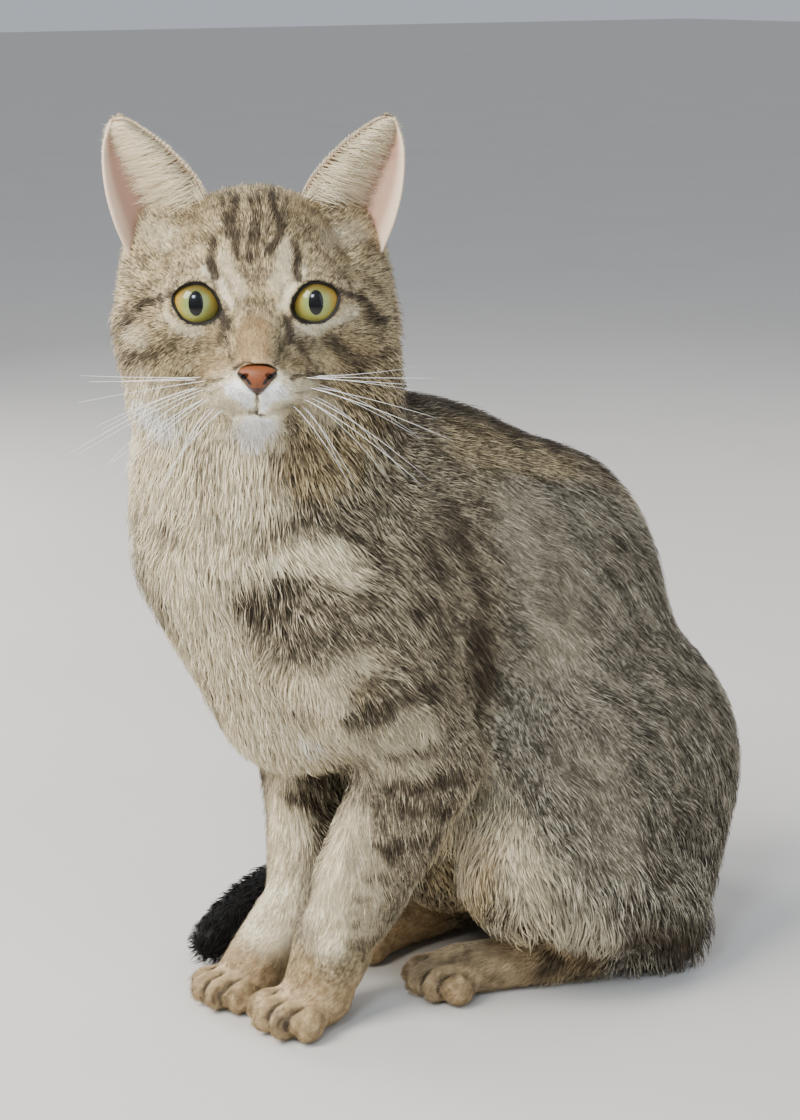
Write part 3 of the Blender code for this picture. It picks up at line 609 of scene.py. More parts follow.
BODY_DARK = [
    ([(18, -20, 209), (27, -14, 206), (34, -7, 203), (42, 4, 206), (47, 15, 210), (50, 29, 217),
      (48, 48, 226)], 5.6, 0.3),
    ([(-10, -28, 204), (3, -27, 202)], 5, 0.5),
    ([(39, 0, 235), (45, 11, 240), (52, 18, 241), (52, 28, 236)], 8, 0.35),
    ([(27, -12, 178), (32, -10, 183), (38, -6, 185), (44, -1, 187), (50, 5, 190)], 4.6, 0.6),
    ([(26, -12, 177), (32, -9, 176), (35, -7, 172)], 5.5, 0.55),
    ([(40, -5, 178), (47, 1, 172), (54, 9, 168)], 4.6, 0.5),
    ([(29, -10, 174), (24, -8, 164), (21, -5, 155)], 3.4, 0.6),
    ([(35, -7, 174), (32, -6, 166), (31, -2, 158)], 3.0, 0.55),
    ([(20, -16, 178), (15, -17, 170)], 2.4, 0.5),
    ([(43, -1, 168), (51, 5, 171), (56, 12, 178), (60, 22, 184)], 5, 0.35),
    ([(58, 23, 167), (61, 39, 171), (60, 53, 176)], 5, 0.5),
    ([(50, 18, 133), (54, 21, 134), (61, 27, 139), (64, 34, 142), (66, 44, 143), (64, 56, 146)],
     6.5, 0.65),
    ([(50, 38, 103), (58, 44, 106), (64, 52, 107), (66, 62, 106), (60, 76, 100)], 4.6, 0.8),
    ([(44, 30, 116), (56, 36, 118), (64, 46, 120), (65, 58, 122)], 3.6, 0.6),
    ([(53, 42, 96), (61, 54, 94), (59, 70, 92)], 4, 0.85),
    ([(46, 36, 79), (50, 41, 78), (55, 52, 79), (50, 66, 80)], 3.4, 0.85),
    ([(40, 36, 64), (46, 44, 66), (47, 56, 70)], 3.2, 0.7),
    ([(37, 32, 55), (43, 42, 59), (42, 54, 66)], 2.8, 0.6),
    ([(37, 37, 46), (41, 46, 50), (40, 57, 58)], 2.6, 0.6),
    ([(36, 46, 38), (36, 56, 44)], 2.8, 0.5),
    ([(-30, 34, 90), (-24, 38, 84), (-17, 42, 79), (-9, 50, 76)], 5, 0.9),
    ([(-44, 30, 136), (-54, 40, 140), (-56, 52, 142)], 8, 0.8),
    ([(-46, 40, 104), (-52, 54, 100), (-48, 66, 96)], 5.5, 0.8),
    ([(-40, 34, 86), (-44, 46, 84), (-38, 60, 84)], 4.5, 0.8),
    ([(-32, 28, 60), (-36, 38, 60), (-34, 54, 62)], 4, 0.8),
    # A dark line behind the shoulder: partly a stripe, partly painted shadow behind the shoulder
    # blade
    ([(50, 76, 206), (53, 82, 180), (53, 82, 156), (50, 88, 134), (55, 86, 118)], 6, 0.55),
    ([(54, 84, 150), (50, 88, 132), (56, 80, 112)], 8, 0.45),
    # Darker over the near hind foot: painted shade
    ([(30, 72, 8), (44, 104, 12)], 17, 0.3),
    ([(-38, 78, 205), (-44, 83, 170), (-42, 87, 130)], 8, 0.8),
    ([(40, 62, 246), (50, 50, 244), (58, 34, 246)], 14, 0.6),
    ([(-26, 62, 246), (-36, 50, 244)], 14, 0.6),
    ([(4, 60, 250), (5, 100, 240), (6, 130, 224), (12, 172, 192), (18, 200, 155), (20, 220, 115),
      (20, 232, 78)], 29, 0.95),
    ([(88, 140, 26), (84, 160, 18), (74, 182, 12)], 16, 0.65),
    ([(-30, 150, 40), (-24, 176, 28)], 15, 0.7),
    ([(70, 128, 14), (52, 118, 10)], 6, 0.6),
    ([(50, 60, 196), (55, 62, 165)], 12, 0.4),
]
BODY_PALE = [
    ([(-6, -27, 238), (0, -26, 218), (4, -24, 190), (6, -16, 162), (10, -4, 142), (6, 10, 112),
      (-8, 22, 92)], 30, 0.9),
    ([(26, -12, 226), (34, -4, 218)], 12, 0.85),
    ([(27, -16, 214), (27, -16, 196)], 13, 0.85),
    ([(38, -4, 196), (44, 3, 198), (50, 13, 200), (56, 18, 194)], 9, 0.85),
    ([(-30, -16, 232), (-34, -6, 205), (-34, 4, 180), (-26, 8, 150)], 24, 0.85),
    ([(33, 6, 142), (40, 9, 148), (47, 10, 145), (44, 18, 122), (28, 16, 118)], 13, 0.85),
    ([(55, 13, 154), (60, 22, 160)], 8, 0.55),
    ([(26, 24, 110), (25, 30, 72), (26, 28, 42)], 15, 0.9),
    ([(36, 34, 88), (42, 36, 70), (38, 36, 44)], 9, 0.5),
    ([(-24, 24, 110), (-22, 36, 62), (-14, 30, 30)], 19, 0.9),
    ([(18, 14, 14), (19, 2, 12)], 15, 0.35),
    ([(-18, 8, 14), (-18, -2, 12)], 15, 0.35),
    ([(30, 74, 12), (42, 104, 14)], 14, 0.25),
    ([(47, 110, 200), (53, 114, 184), (58, 118, 164), (60, 118, 148)], 19, 0.24),
    ([(70, 82, 86), (74, 85, 70), (76, 90, 50), (78, 108, 32), (78, 126, 24)], 15, 0.5),
    ([(78, 100, 60), (80, 112, 44)], 16, 0.35),
    ([(80, 118, 96), (84, 130, 66)], 22, 0.18),
    ([(50, 80, 60), (56, 78, 76), (52, 82, 92)], 15, 0.45),
    ([(-46, 84, 96), (-56, 92, 72), (-58, 108, 40)], 12, 0.8),
    ([(53, 34, 120), (60, 38, 128), (64, 44, 122)], 15, 0.5),
    ([(46, 28, 102), (52, 34, 108)], 9, 0.5),
]
BODY_WARM = [
    ([(39, 4, 232), (52, 18, 234)], 14, 0.5),
    ([(33, 93, 232), (30, 116, 228), (30, 137, 220)], 18, 0.25),
    ([(-20, 93, 232), (-18, 116, 228), (-16, 137, 220)], 18, 0.25),
    ([(30, 86, 46), (50, 76, 52), (57, 75, 68), (60, 77, 84)], 14, 0.5),
    ([(56, 78, 46), (62, 80, 58), (67, 78, 68)], 9, 0.3),
    ([(-30, 80, 50), (-24, 84, 40)], 16, 1.0),
    ([(20, 18, 14), (22, 0, 8)], 25, 0.85),
    ([(-17, 12, 12), (-16, 0, 8)], 23, 0.85),
    ([(34, 72, 8), (44, 104, 12), (54, 128, 12)], 22, 0.8),
    ([(-22, 80, 10), (-22, 112, 12)], 15, 0.55),
    ([(48, 12, 150), (56, 22, 150)], 9, 0.4),
]
LID_BAND = (0.91, 0.98)    # where the black rim of the eye ends, as shares of the fur's edge
DARK_TAIL_FROM = 0.62      # share of the tail's length where it turns black
TAIL_REACH = 24            # mm from the tail's line that still take its colours
TAIL_RINGS = 46            # radians of ring pattern along the tail
WOBBLE = 11                # mm between the soft waves that bend the strokes
BLOTCH = 26                # mm between the trunk's blotches
FOOT_TAN = 0.8             # how tan the feet are
PAW_LINE = np.array([(-18.5, -4, 8), (-18.5, 17, 10), (-20, 46, 40)])   # the paw beside its tip


def marks_at(points):
    """Dark, pale and warm shares of the coat at the cat's places, and how black it is. Strokes
    add up as 1 - (1 - a)(1 - b). Soft noise bends them and gives the trunk its blotches and
    bars. The eyes' rims, painted shade in the toes' clefts, the tail's rings and black end, and
    the tan of the feet are laid over them."""
    wobble = np.stack([ripple(points, WOBBLE, seed) for seed in (1, 2, 3)], 1)
    moved = points + 1.5 * wobble
    face = to_face(points + 0.8 * wobble)
    front = 1 - soft_step(face[:, 1], 34, 46)
    front *= np.linalg.norm(face, axis=1) < 80
    layers = []
    for on_face, on_body in ((FACE_DARK, BODY_DARK), (FACE_PALE, BODY_PALE),
                             (FACE_WARM, BODY_WARM)):
        clear = np.ones(len(points))
        for line, wide, strong in on_face:
            clear *= 1 - strong * stroke(face[:, [0, 2]], line, wide) * front
        for line, wide, strong in on_body:
            clear *= 1 - strong * stroke(moved, line, wide)
        layers.append(1 - clear)
    dark, pale, warm = layers
    steady = to_face(points)
    lid = (1 - soft_step(eye_room(steady), *LID_BAND)) * (steady[:, 1] < 20)
    dark = np.maximum(dark, lid)
    # Painted shade in the clefts between the toes
    dark = np.maximum(dark, 0.95 * toe_cleft(points, 0.9))
    trunk = soft_step(np.linalg.norm(steady, axis=1), 62, 80)
    blotch = soft_step(ripple(moved * [1, 1, 0.7], BLOTCH, 5), 0.1, 1.4) * trunk
    bars = soft_step(np.sin(moved[:, 1] * 0.16 + moved[:, 2] * 0.07 + 1.2 * wobble[:, 0]), 0.1, 1)
    side = soft_step(np.abs(points[:, 0] - SPINE_X), 20, 44) * soft_step(points[:, 1], 72, 110)
    # Painted shade over the rear of the hips, darker towards the back
    rump_shade = side * soft_step(points[:, 1], 150, 200)
    plain = 1 - 0.8 * pale
    dark = 1 - (1 - dark) * (1 - 0.3 * blotch * plain) * (1 - 0.22 * bars * trunk * plain)
    dark = 1 - (1 - dark) * (1 - (0.16 * side + 0.20 * rump_shade) * plain)
    tail = smooth_line(TAIL_LINE, 4)
    beside = np.stack([np.linalg.norm(points - place, axis=1) for place in tail])
    along = beside.argmin(0) / (len(tail) - 1)
    on_tail = (beside.min(0) < TAIL_REACH) & (points[:, 0] < -8) & (points[:, 2] < 44)
    on_tail &= off_line(points, PAW_LINE) > 18
    rings = soft_step(np.sin(along * TAIL_RINGS), 0.2, 0.7) * on_tail * (along > 0.2)
    dark = np.maximum(dark * (1 - 0.5 * on_tail), 0.85 * rings)
    black = on_tail * soft_step(along, DARK_TAIL_FROM, DARK_TAIL_FROM + 0.1)
    black = np.maximum(black, 0.9 * lid)
    pale = np.where(on_tail, 0, pale)
    tread = np.stack([np.hypot(*(points[:, :2] - foot[0]).T) for foot in FEET]).min(0)
    paw = (1 - soft_step(tread, 30, 44)) * (1 - soft_step(points[:, 2], 12, 40)) * ~on_tail
    warm = np.maximum(warm, FOOT_TAN * paw)
    warm = warm - np.maximum(side, 0.45 * trunk) * plain * (1 - warm) * ~on_tail
    return np.stack([dark, pale * (1 - 0.75 * dark), warm], 1), black


# Tufts

BENT_FACES = np.array([(0, 2, 1), (0, 1, 4), (0, 4, 3), (1, 2, 5), (1, 5, 4), (2, 0, 3),
                       (2, 3, 5), (3, 4, 6), (4, 5, 6), (5, 3, 6)])
SHORT_FACES = np.array([(0, 2, 1), (0, 1, 3), (1, 2, 3), (2, 0, 3)])
MOST_BENT, MOST_SHORT = 19000, 48000   # tufts in a piece
SHORT_BELOW = 8.6          # mm of length under which a tuft is straight
MOST_WANTED = 12           # tufts to a square millimetre
ROOT_DEPTH = 0.25          # mm that a tuft's root is sunk into the skin
SWAY, DROOP = 0.13, 0.06   # spreads of a tuft's turn aside and of its tip's lift
CLUMP, CLUMP_PULL = 5.5, 0.42    # mm across a clump of long tufts, and how far its tips gather
COMBED = 1.6               # how hard the fur round an eye is combed away from it
WAVE, WAVE_TURN = 24, 0.22       # mm between the soft waves of the lie, and how far they turn it
LENGTH_VARIES, LIFT_VARIES, TONE_VARIES = 0.16, 0.3, 0.26    # spreads about the mean
CLUMP_SEED = 40
COVER = 2.9                # times that the tufts would cover the skin, laid flat
WIDTH = (0.15, 0.030)      # a tuft's width in mm: so much, and so much for each mm of its length


def spread(points, faces, wanted, dice):
    """Random roots on the triangles, as many to a square millimetre as wanted says for each
    triangle, with the triangle and the shares of its corners."""
    a, b, c = (points[faces[:, k]] for k in range(3))
    area = np.linalg.norm(np.cross(b - a, c - a), axis=1) / 2
    count = dice.poisson(area * wanted)
    which = np.repeat(np.arange(len(faces)), count)
    share = dice.random((len(which), 2))
    over = share.sum(1) > 1
    share[over] = 1 - share[over]
    corners = np.hstack([1 - share.sum(1, keepdims=True), share])
    return which, corners


def tuft_arrays(roots, normals, ways, length, width, lift, bent, dice):
    """Tapered tufts: a flat three-sided root, a like ring half way if bent, and a tip. Each
    leaves its root at the lift angle and bends down to a third of it."""
    ways = unit(ways - (ways * normals).sum(1, keepdims=True) * normals)
    side = np.cross(ways, normals)
    sway = dice.normal(0, SWAY, len(roots))[:, None]
    ways = unit(ways + sway * side)
    side = np.cross(ways, normals)
    lift = lift[:, None]
    mid = roots + 0.5 * length[:, None] * (np.cos(lift) * ways + np.sin(lift) * normals)
    low = 0.3 * lift + dice.normal(0, DROOP, (len(roots), 1))
    tip = mid + 0.5 * length[:, None] * (np.cos(low) * ways + np.sin(low) * normals)
    wide = width[:, None] / 2
    ring = [side * wide, -side * wide, 0.8 * wide * normals]
    start = roots - ROOT_DEPTH * normals
    if bent:
        return np.stack([*[start + r for r in ring], *[mid + 0.8 * r for r in ring], tip], 1)
    return np.stack([*[start + r for r in ring], tip], 1)


def gathered(tufts, roots, size, pull, seed):
    """Draws the tips of neighbours together: each moves by pull towards its cell's mean tip."""
    cells = np.floor(roots / size + 0.35 * np.stack(
        [ripple(roots, 9, seed + k) for k in range(3)], 1)).astype(np.int64)
    _, cell = np.unique(cells @ [1, 1000, 1000000], return_inverse=True)
    number = np.maximum(np.bincount(cell), 1)
    tips = tufts[:, -1]
    mean = np.stack([np.bincount(cell, tips[:, k])[cell] for k in range(3)], 1)
    tufts[:, -1] += pull * (mean / number[cell][:, None] - tips)
    return tufts


def unwrap_places(roots, normals):
    """A place on a 0 to 1 map for each root: the skin is cut into charts by the side that it
    faces and the part of the body, each laid flat in its own cell of a square sheet."""
    sides = np.abs(normals).argmax(1)
    facing = sides * 2 + (np.take_along_axis(normals, sides[:, None], 1)[:, 0] > 0)
    part = np.digitize(roots[:, 2], [60, 120, 180, 240]) * 2 + (roots[:, 0] > SPINE_X)
    chart = part * 6 + facing
    places = np.zeros((len(roots), 2))
    across = 8
    for number in np.unique(chart):
        here = chart == number
        flat = np.delete(roots[here], sides[here][0], axis=1)
        flat = (flat - flat.min(0)) / max(np.ptp(flat, axis=0).max(), 1)
        cell = np.array([number % across, number // across])
        places[here] = (cell + 0.03 + 0.92 * flat) / across
    return places


def coat_piece(name, tufts, strand, marks, places, bent, material, slot):
    """One joined mesh of tufts, with its marks, strand values and bake map."""
    count, size = tufts.shape[:2]
    faces = BENT_FACES if bent else SHORT_FACES
    verts = tufts.reshape(-1, 3)
    verts[:, 2] = np.maximum(verts[:, 2], FLOOR_CLEAR / MM)
    all_faces = (faces[None] + size * np.arange(count)[:, None, None]).reshape(-1, 3)
    made = made_mesh(name, placed(verts), all_faces)
    along = np.array([0, 0, 0, 0.5, 0.5, 0.5, 1] if bent else [0, 0, 0, 1])
    values = np.empty((count, size, 3))
    values[..., 0] = along
    values[..., 1:] = strand[:, None]
    mark_points(made, "strand", values.reshape(-1, 3))
    mark_points(made, "marks", np.repeat(marks, size, axis=0))
    patch = np.array([(0, 0), (0.5, 0), (1, 0), (0, 0.5), (0.5, 0.5), (1, 0.5), (0.5, 1)]
                     if bent else [(0, 0), (0.5, 0), (1, 0), (0.5, 1)]) * 0.003
    uv = (places[:, None] + patch[None]).reshape(-1, 2)
    layer = made.data.uv_layers.new(name="OFBake")
    layer.data.foreach_set("uv", uv[all_faces.ravel()].astype(np.float32).ravel())
    return dress(made, material, slot)


def eye_room(face):
    """How far a point of the face frame is outside the nearer eye's almond, as a share."""
    x = np.abs(face[:, 0]) - EYE[0]
    across = x * math.cos(EYE_SLANT) + face[:, 2] * math.sin(EYE_SLANT)
    up = face[:, 2] * math.cos(EYE_SLANT) - x * math.sin(EYE_SLANT)
    return np.hypot(across / FUR_EDGE[0], up / FUR_EDGE[1])


def off_lips(face, mouth):
    """Distance from the mouth's line and the groove above it, seen from the front."""
    flat = face[:, [0, 2]]
    return np.minimum(off_line(flat, np.array(mouth)), off_line(flat, np.array(PHILTRUM)))


def tufts_wanted(centre):
    """Tufts to a square millimetre at each place: the cover over one tuft's area, more on the
    head, fewer where the belly and feet are tucked in, and none on bare skin."""
    length = lie_of_coat(centre)[1]
    width = WIDTH[0] + WIDTH[1] * length
    tucked = (centre[:, 1] > 55) & (centre[:, 1] < 215) & (np.abs(centre[:, 0]) < 30)
    tucked &= centre[:, 2] < 110
    wanted = COVER / (width * length) * np.where(tucked | (centre[:, 2] < 32), 0.6, 1)
    face = to_face(centre)
    wanted *= np.where(np.linalg.norm(face, axis=1) < 70, 1.3, 1)
    bare = (eye_distance(face) < EYEBALL_R + 0.9) | (centre[:, 2] < 1.2)
    wide, high, middle = NOSE_BARE
    nose = np.hypot(face[:, 0] / wide, (face[:, 2] - middle) / high)
    bare |= (nose < 1) & (face[:, 1] < 0)
    bare |= toe_cleft(centre, 1.0) > 0.75
    bare |= (off_lips(face, MOUTH[1:-1]) < 0.35) & (face[:, 1] < 0)
    return np.where(bare, 0, np.minimum(wanted, MOST_WANTED))


def grown_coat(points, faces, normals, material):
    """Sows tufts over the skin, combs them by the lie of the coat and away from the eyes, keeps
    their tips off the eyes and lips, and splits them into pieces by region."""
    dice = np.random.default_rng(11)
    which, corners = spread(points, faces, tufts_wanted(points[faces].mean(1)), dice)
    roots = (points[faces[which]] * corners[..., None]).sum(1)
    upright = unit((normals[faces[which]] * corners[..., None]).sum(1))
    ways, length, depth, lift = lie_of_coat(roots)
    face = to_face(roots)
    push = unit(face - EYE * np.where(face[:, :1] > 0, 1, -1) ** [1, 0, 0])
    by_eye = face[:, 1] < 22
    near = (np.exp(-((eye_room(face) - 1) / 0.35) ** 2) * by_eye)[:, None]
    ways = unit(ways + COMBED * near * (push @ FACE_TURN.T))
    wave = np.stack([ripple(roots, WAVE, seed) for seed in (21, 22, 23)], 1)
    ways = unit(ways + WAVE_TURN * wave)
    length = length * np.clip(dice.normal(1, LENGTH_VARIES, len(roots)), 0.6, 1.5)
    length *= np.where((eye_room(face) < 1.35) & by_eye, 0.6, 1)
    lips = off_lips(face, MOUTH)
    length *= np.where((face[:, 1] < 2) & (lips < 3), 0.55 + 0.15 * lips, 1)
    width = (WIDTH[0] + WIDTH[1] * length) * dice.uniform(0.8, 1.2, len(roots))
    lift = np.radians(lift) * np.clip(dice.normal(1, LIFT_VARIES, len(roots)), 0.4, 1.8)
    # The feet's tufts are more alike in tone than the body's
    calm = 1 - 0.62 * (1 - soft_step(roots[:, 2], 22, 46))
    tone = dice.normal(0, TONE_VARIES, len(roots)) + 0.16 * ripple(roots, 6, 31)
    tone = np.clip(0.5 + calm * tone, 0, 1)
    # A tuft takes the marking of the place where its middle shows at the coat's surface
    shown = roots + depth[:, None] * upright + 0.4 * length[:, None] * ways
    shown += dice.normal(size=roots.shape) * (0.15 + 0.05 * length)[:, None]
    marks, black = marks_at(shown)
    places = unwrap_places(roots, upright)
    strand = np.stack([tone, black], 1)
    short = length < SHORT_BELOW
    x, y, z = roots.T
    region = np.select(
        [np.linalg.norm(face, axis=1) < HEAD_REACH, (x < -58) & (z < 60), z > 196, z < 36,
         y < 62, x > 8],
        ["head", "tail", "neck", "feet", "chest", "left_side"], "right_side")
    for name in np.unique(region):
        for bent in (True, False):
            chosen = np.flatnonzero((region == name) & (short != bent))
            if not len(chosen):
                continue
            tufts = tuft_arrays(roots[chosen], upright[chosen], ways[chosen], length[chosen],
                                width[chosen], lift[chosen], bent, dice)
            if bent:
                tufts = gathered(tufts, roots[chosen], CLUMP, CLUMP_PULL, CLUMP_SEED)
            tips = to_face(tufts[:, -1])
            keep = (eye_room(tips) > 0.94) | (tips[:, 1] > 16)
            keep &= (off_lips(tips, MOUTH[1:-1]) > 0.3) | (tips[:, 1] > 0)
            chosen, tufts = chosen[keep], tufts[keep]
            order = np.argsort(roots[chosen, 2], kind="stable")
            limit = MOST_BENT if bent else MOST_SHORT
            runs = np.array_split(order, -(-len(order) // limit))
            for number, run in enumerate(runs):
                title = f"coat_{name}_{'long' if bent else 'short'}_{number + 1}"
                coat_piece(title, tufts[run], strand[chosen[run]], marks[chosen[run]],
                           places[chosen[run]], bent, material, "grey_brown_fur")


# Eyes, lids, nose, ears and whiskers

def grid_faces(rows, columns, closed=False):
    """Quads of a grid of points, row by row, closed round its columns if asked."""
    i, j = np.meshgrid(np.arange(rows - 1), np.arange(columns if closed else columns - 1),
                       indexing="ij")
    k = (j + 1) % columns
    quads = np.stack([i * columns + j, i * columns + k, (i + 1) * columns + k,
                      (i + 1) * columns + j], -1)
    return quads.reshape(-1, 4)


def end_faces(rows, columns):
    """Quads across the first and the last row of a closed grid, like the rungs of a ladder."""
    k = np.arange(columns // 2 - 1)
    rungs = np.stack([k, k + 1, columns - 2 - k, columns - 1 - k], -1)
    return np.vstack([rungs[:, ::-1], rungs + (rows - 1) * columns])


def eyeball(side):
    """A ball of rings about the line of sight with a slightly raised clear front. Its gaze
    attribute holds each point's place in the eye's own millimetres."""
    rows, columns, pole = 60, 96, 0.004
    rise, breadth = 0.7, 0.62    # of the clear front: mm, and radians from the line of sight
    turn, ring = np.meshgrid(np.linspace(0, 2 * math.pi, columns + 1)[:-1],
                             np.linspace(pole, math.pi - pole, rows), indexing="xy")
    radius = EYEBALL_R + rise * np.exp(-(ring / breadth) ** 4)
    local = np.stack([radius * np.sin(ring) * np.cos(turn), -radius * np.cos(ring),
                      radius * np.sin(ring) * np.sin(turn)], -1).reshape(-1, 3)
    centre = EYE * [side, 1, 1]
    faces = np.vstack([grid_faces(rows, columns, True), end_faces(rows, columns)])[:, ::-1]
    made = made_mesh(f"eyeball_{side_name(side)}", placed(from_face(local + centre)), faces)
    mark_points(made, "gaze", local)
    return made


def almond(side, turn, grow, inner):
    """Points (x, z) of the eye's opening about its centre, with the inner corner drawn out."""
    x = (EYE_OPEN[0] + grow) * np.cos(turn)
    z = (EYE_OPEN[1] + grow) * np.sin(turn) * (1 - 0.24 * np.cos(turn) ** 2)
    corner = np.exp(-((turn - math.pi) / 0.34) ** 2)
    x = x - inner * 2.1 * corner
    z = z - inner * 1.6 * corner
    c, s = math.cos(EYE_SLANT), math.sin(EYE_SLANT)
    return np.stack([side * (x * c - z * s), x * s + z * c], -1)


def lids(side):
    """The dark rim: a bead along the opening, half a sine wave high over the eyeball's front,
    and an apron from it that tucks under the skin."""
    rows, columns = 12, 120
    turn, across = np.meshgrid(np.linspace(0, 2 * math.pi, columns + 1)[:-1],
                               np.linspace(0, 1, rows), indexing="xy")
    # From 0.7 mm inside the opening to 0.4 mm outside it at the bead's end, then to 2.9 mm
    grow = -0.7 + 1.9 * across + 4.25 * np.maximum(across - 0.6, 0)
    flat = almond(side, turn, grow, 1.0 - 0.5 * across)
    rise = 0.85 * np.sin(math.pi * np.clip(across / 0.60, 0, 1)) ** 0.6 - 0.4 * np.maximum(
        across - 0.5, 0)
    sphere = EYEBALL_R + 0.1 + rise
    flat_r2 = (flat ** 2).sum(-1)
    y = -np.sqrt(np.maximum(sphere ** 2 - flat_r2, 4.0))
    local = np.stack([flat[..., 0], y, flat[..., 1]], -1).reshape(-1, 3)
    faces = grid_faces(rows, columns, True)
    if side > 0:
        faces = faces[:, ::-1]
    made = made_mesh("thin_lids", placed(from_face(local + EYE * [side, 1, 1])), faces)
    wall = made.modifiers.new("wall", "SOLIDIFY")
    wall.thickness = 0.25 * MM
    wall.offset = -1
    return linked(f"lids_{side_name(side)}", finished(made))


def nose_leather():
    """The CAD nose, fused on a fine grid and evened out. Its marks are Gaussians of distance
    from the nostrils' commas, the rim of an ellipse and the slit below."""
    rough = linked("nose_rough", written(merged("nose"), "nose_copy"))
    fuse(rough, NOSE_VOXEL)
    ease = rough.modifiers.new("ease", "SMOOTH")
    ease.iterations = 6
    mesh = finished(rough)
    mesh.shade_smooth()
    made = linked("nose_skin", mesh)
    face = to_face(on_cat(arrays_of(mesh)[0]))
    half = np.stack([np.abs(face[:, 0]), face[:, 2]], 1)
    comma = np.array([(7.8, -22.8), (6.7, -24.5), (4.6, -25.7), (3.2, -26.7), (2.6, -27.8)])
    nostril = np.exp(-(off_line(half, comma) / 0.75) ** 2)
    nostril = np.maximum(nostril, np.exp(-(off_line(half, comma[1:3]) / 1.15) ** 2))
    slit = np.exp(-(face[:, 0] / 0.45) ** 2) * (face[:, 2] < -27.5)
    rim = soft_step(np.hypot(face[:, 0] / 8.0, (face[:, 2] + 25.0) / 4.4), 0.86, 1.1)
    # The first mark is painted shade in the nostrils and, at half strength, in the slit below
    mark_points(made, "marks", np.stack([np.maximum(nostril, 0.5 * slit), rim, slit], 1))
    return made


def ear_cup(side, rows=40, columns=41):
    """Points of the ear's cup in the face frame, from base to tip. Each row runs straight from
    the inner to the outer edge and bulges to the back by half a sine wave."""
    inner = smooth_line([(15, 30, 32), (20, 31, 44), (31, 33, 56.5), (42.5, 36, 65),
                         (48.2, 38.5, 67.8)], rows // 4)
    outer = smooth_line([(45.5, 26, 17), (50.5, 24, 29), (53.8, 26.5, 42), (54.6, 32, 56),
                         (52.0, 38.5, 67.2)], rows // 4)
    across = np.linspace(0, 1, columns)
    share = np.linspace(0, 1, len(inner))[:, None]
    depth = 15.5 * np.sin(math.pi * across)[None] ** 0.8 * (1.02 - share) ** 0.55
    grid = inner[:, None] + (outer - inner)[:, None] * across[None, :, None]
    grid = grid + depth[..., None] * np.array([-0.10, 0.98, 0.12])
    return grid * [side, 1, 1], share, across


def ear(side):
    """A thin shell on both sides of the cup, thickest at the middle of its base. Its marks say
    what is inside, what is rim and what is base."""
    grid, share, across = ear_cup(side)
    rows, columns = grid.shape[:2]
    along = np.gradient(grid, axis=0)
    over = np.gradient(grid, axis=1)
    out = unit(np.cross(over, along)) * side
    bulge = np.sin(math.pi * across)[None, :, None] ** 0.5
    thin = 0.35 + 0.8 * bulge * (1 - share)[..., None] ** 0.4
    front, back = grid - out * thin, grid + out * thin
    if (front - back)[rows // 2, columns // 2, 1] > 0:
        front, back = back, front
    shell = np.concatenate([front, back[:, ::-1]], axis=1)
    faces = np.vstack([grid_faces(rows, 2 * columns, True), end_faces(rows, 2 * columns)])
    if side < 0:
        faces = faces[:, ::-1]
    points = placed(from_face(shell.reshape(-1, 3)))
    made = made_mesh(f"ear_skin_{side_name(side)}", points, faces)
    inside = np.zeros((rows, 2 * columns))
    inside[:, :columns] = 1
    edge = np.minimum(across, 1 - across)
    edge = np.broadcast_to(np.concatenate([edge, edge[::-1]]), inside.shape)
    share = np.broadcast_to(share, inside.shape)
    rim = np.maximum(1 - soft_step(edge, 0.02, 0.12), soft_step(share, 0.93, 1.0))
    base = 1 - soft_step(share, 0.0, 0.3)
    mark_points(made, "marks", np.stack([inside, rim, base], -1).reshape(-1, 3))
    return made


# Each kind of ear hair: how many, their roots between two shares of the way from the inner to
# the outer edge and between two of the way up, their length and their width in mm
EAR_HAIRS = (
    ("inner", 3000, (-0.01, 0.26), (0.03, 0.92), 22, 0.22),
    ("middle", 900, (0.24, 0.55), (0.02, 0.6), 12, 0.22),
    ("base", 700, (0.0, 0.62), (0.0, 0.10), 10, 0.28),
    ("back", 2300, (0.05, 0.96), (0.0, 0.98), 4.5, 0.42),
    ("rim", 1100, (0.0, 0.04), (0.0, 0.98), 2.0, 0.28),
    ("rim", 1100, (0.96, 1.0), (0.0, 0.98), 1.8, 0.28),
)
# Their dark, pale and warm shares
EAR_LOOKS = {"back": (0.3, 0.1, 0.25), "rim": (0.0, 0.92, 0.3)}
INSIDE_LOOK = (0.0, 0.9, 0.0)


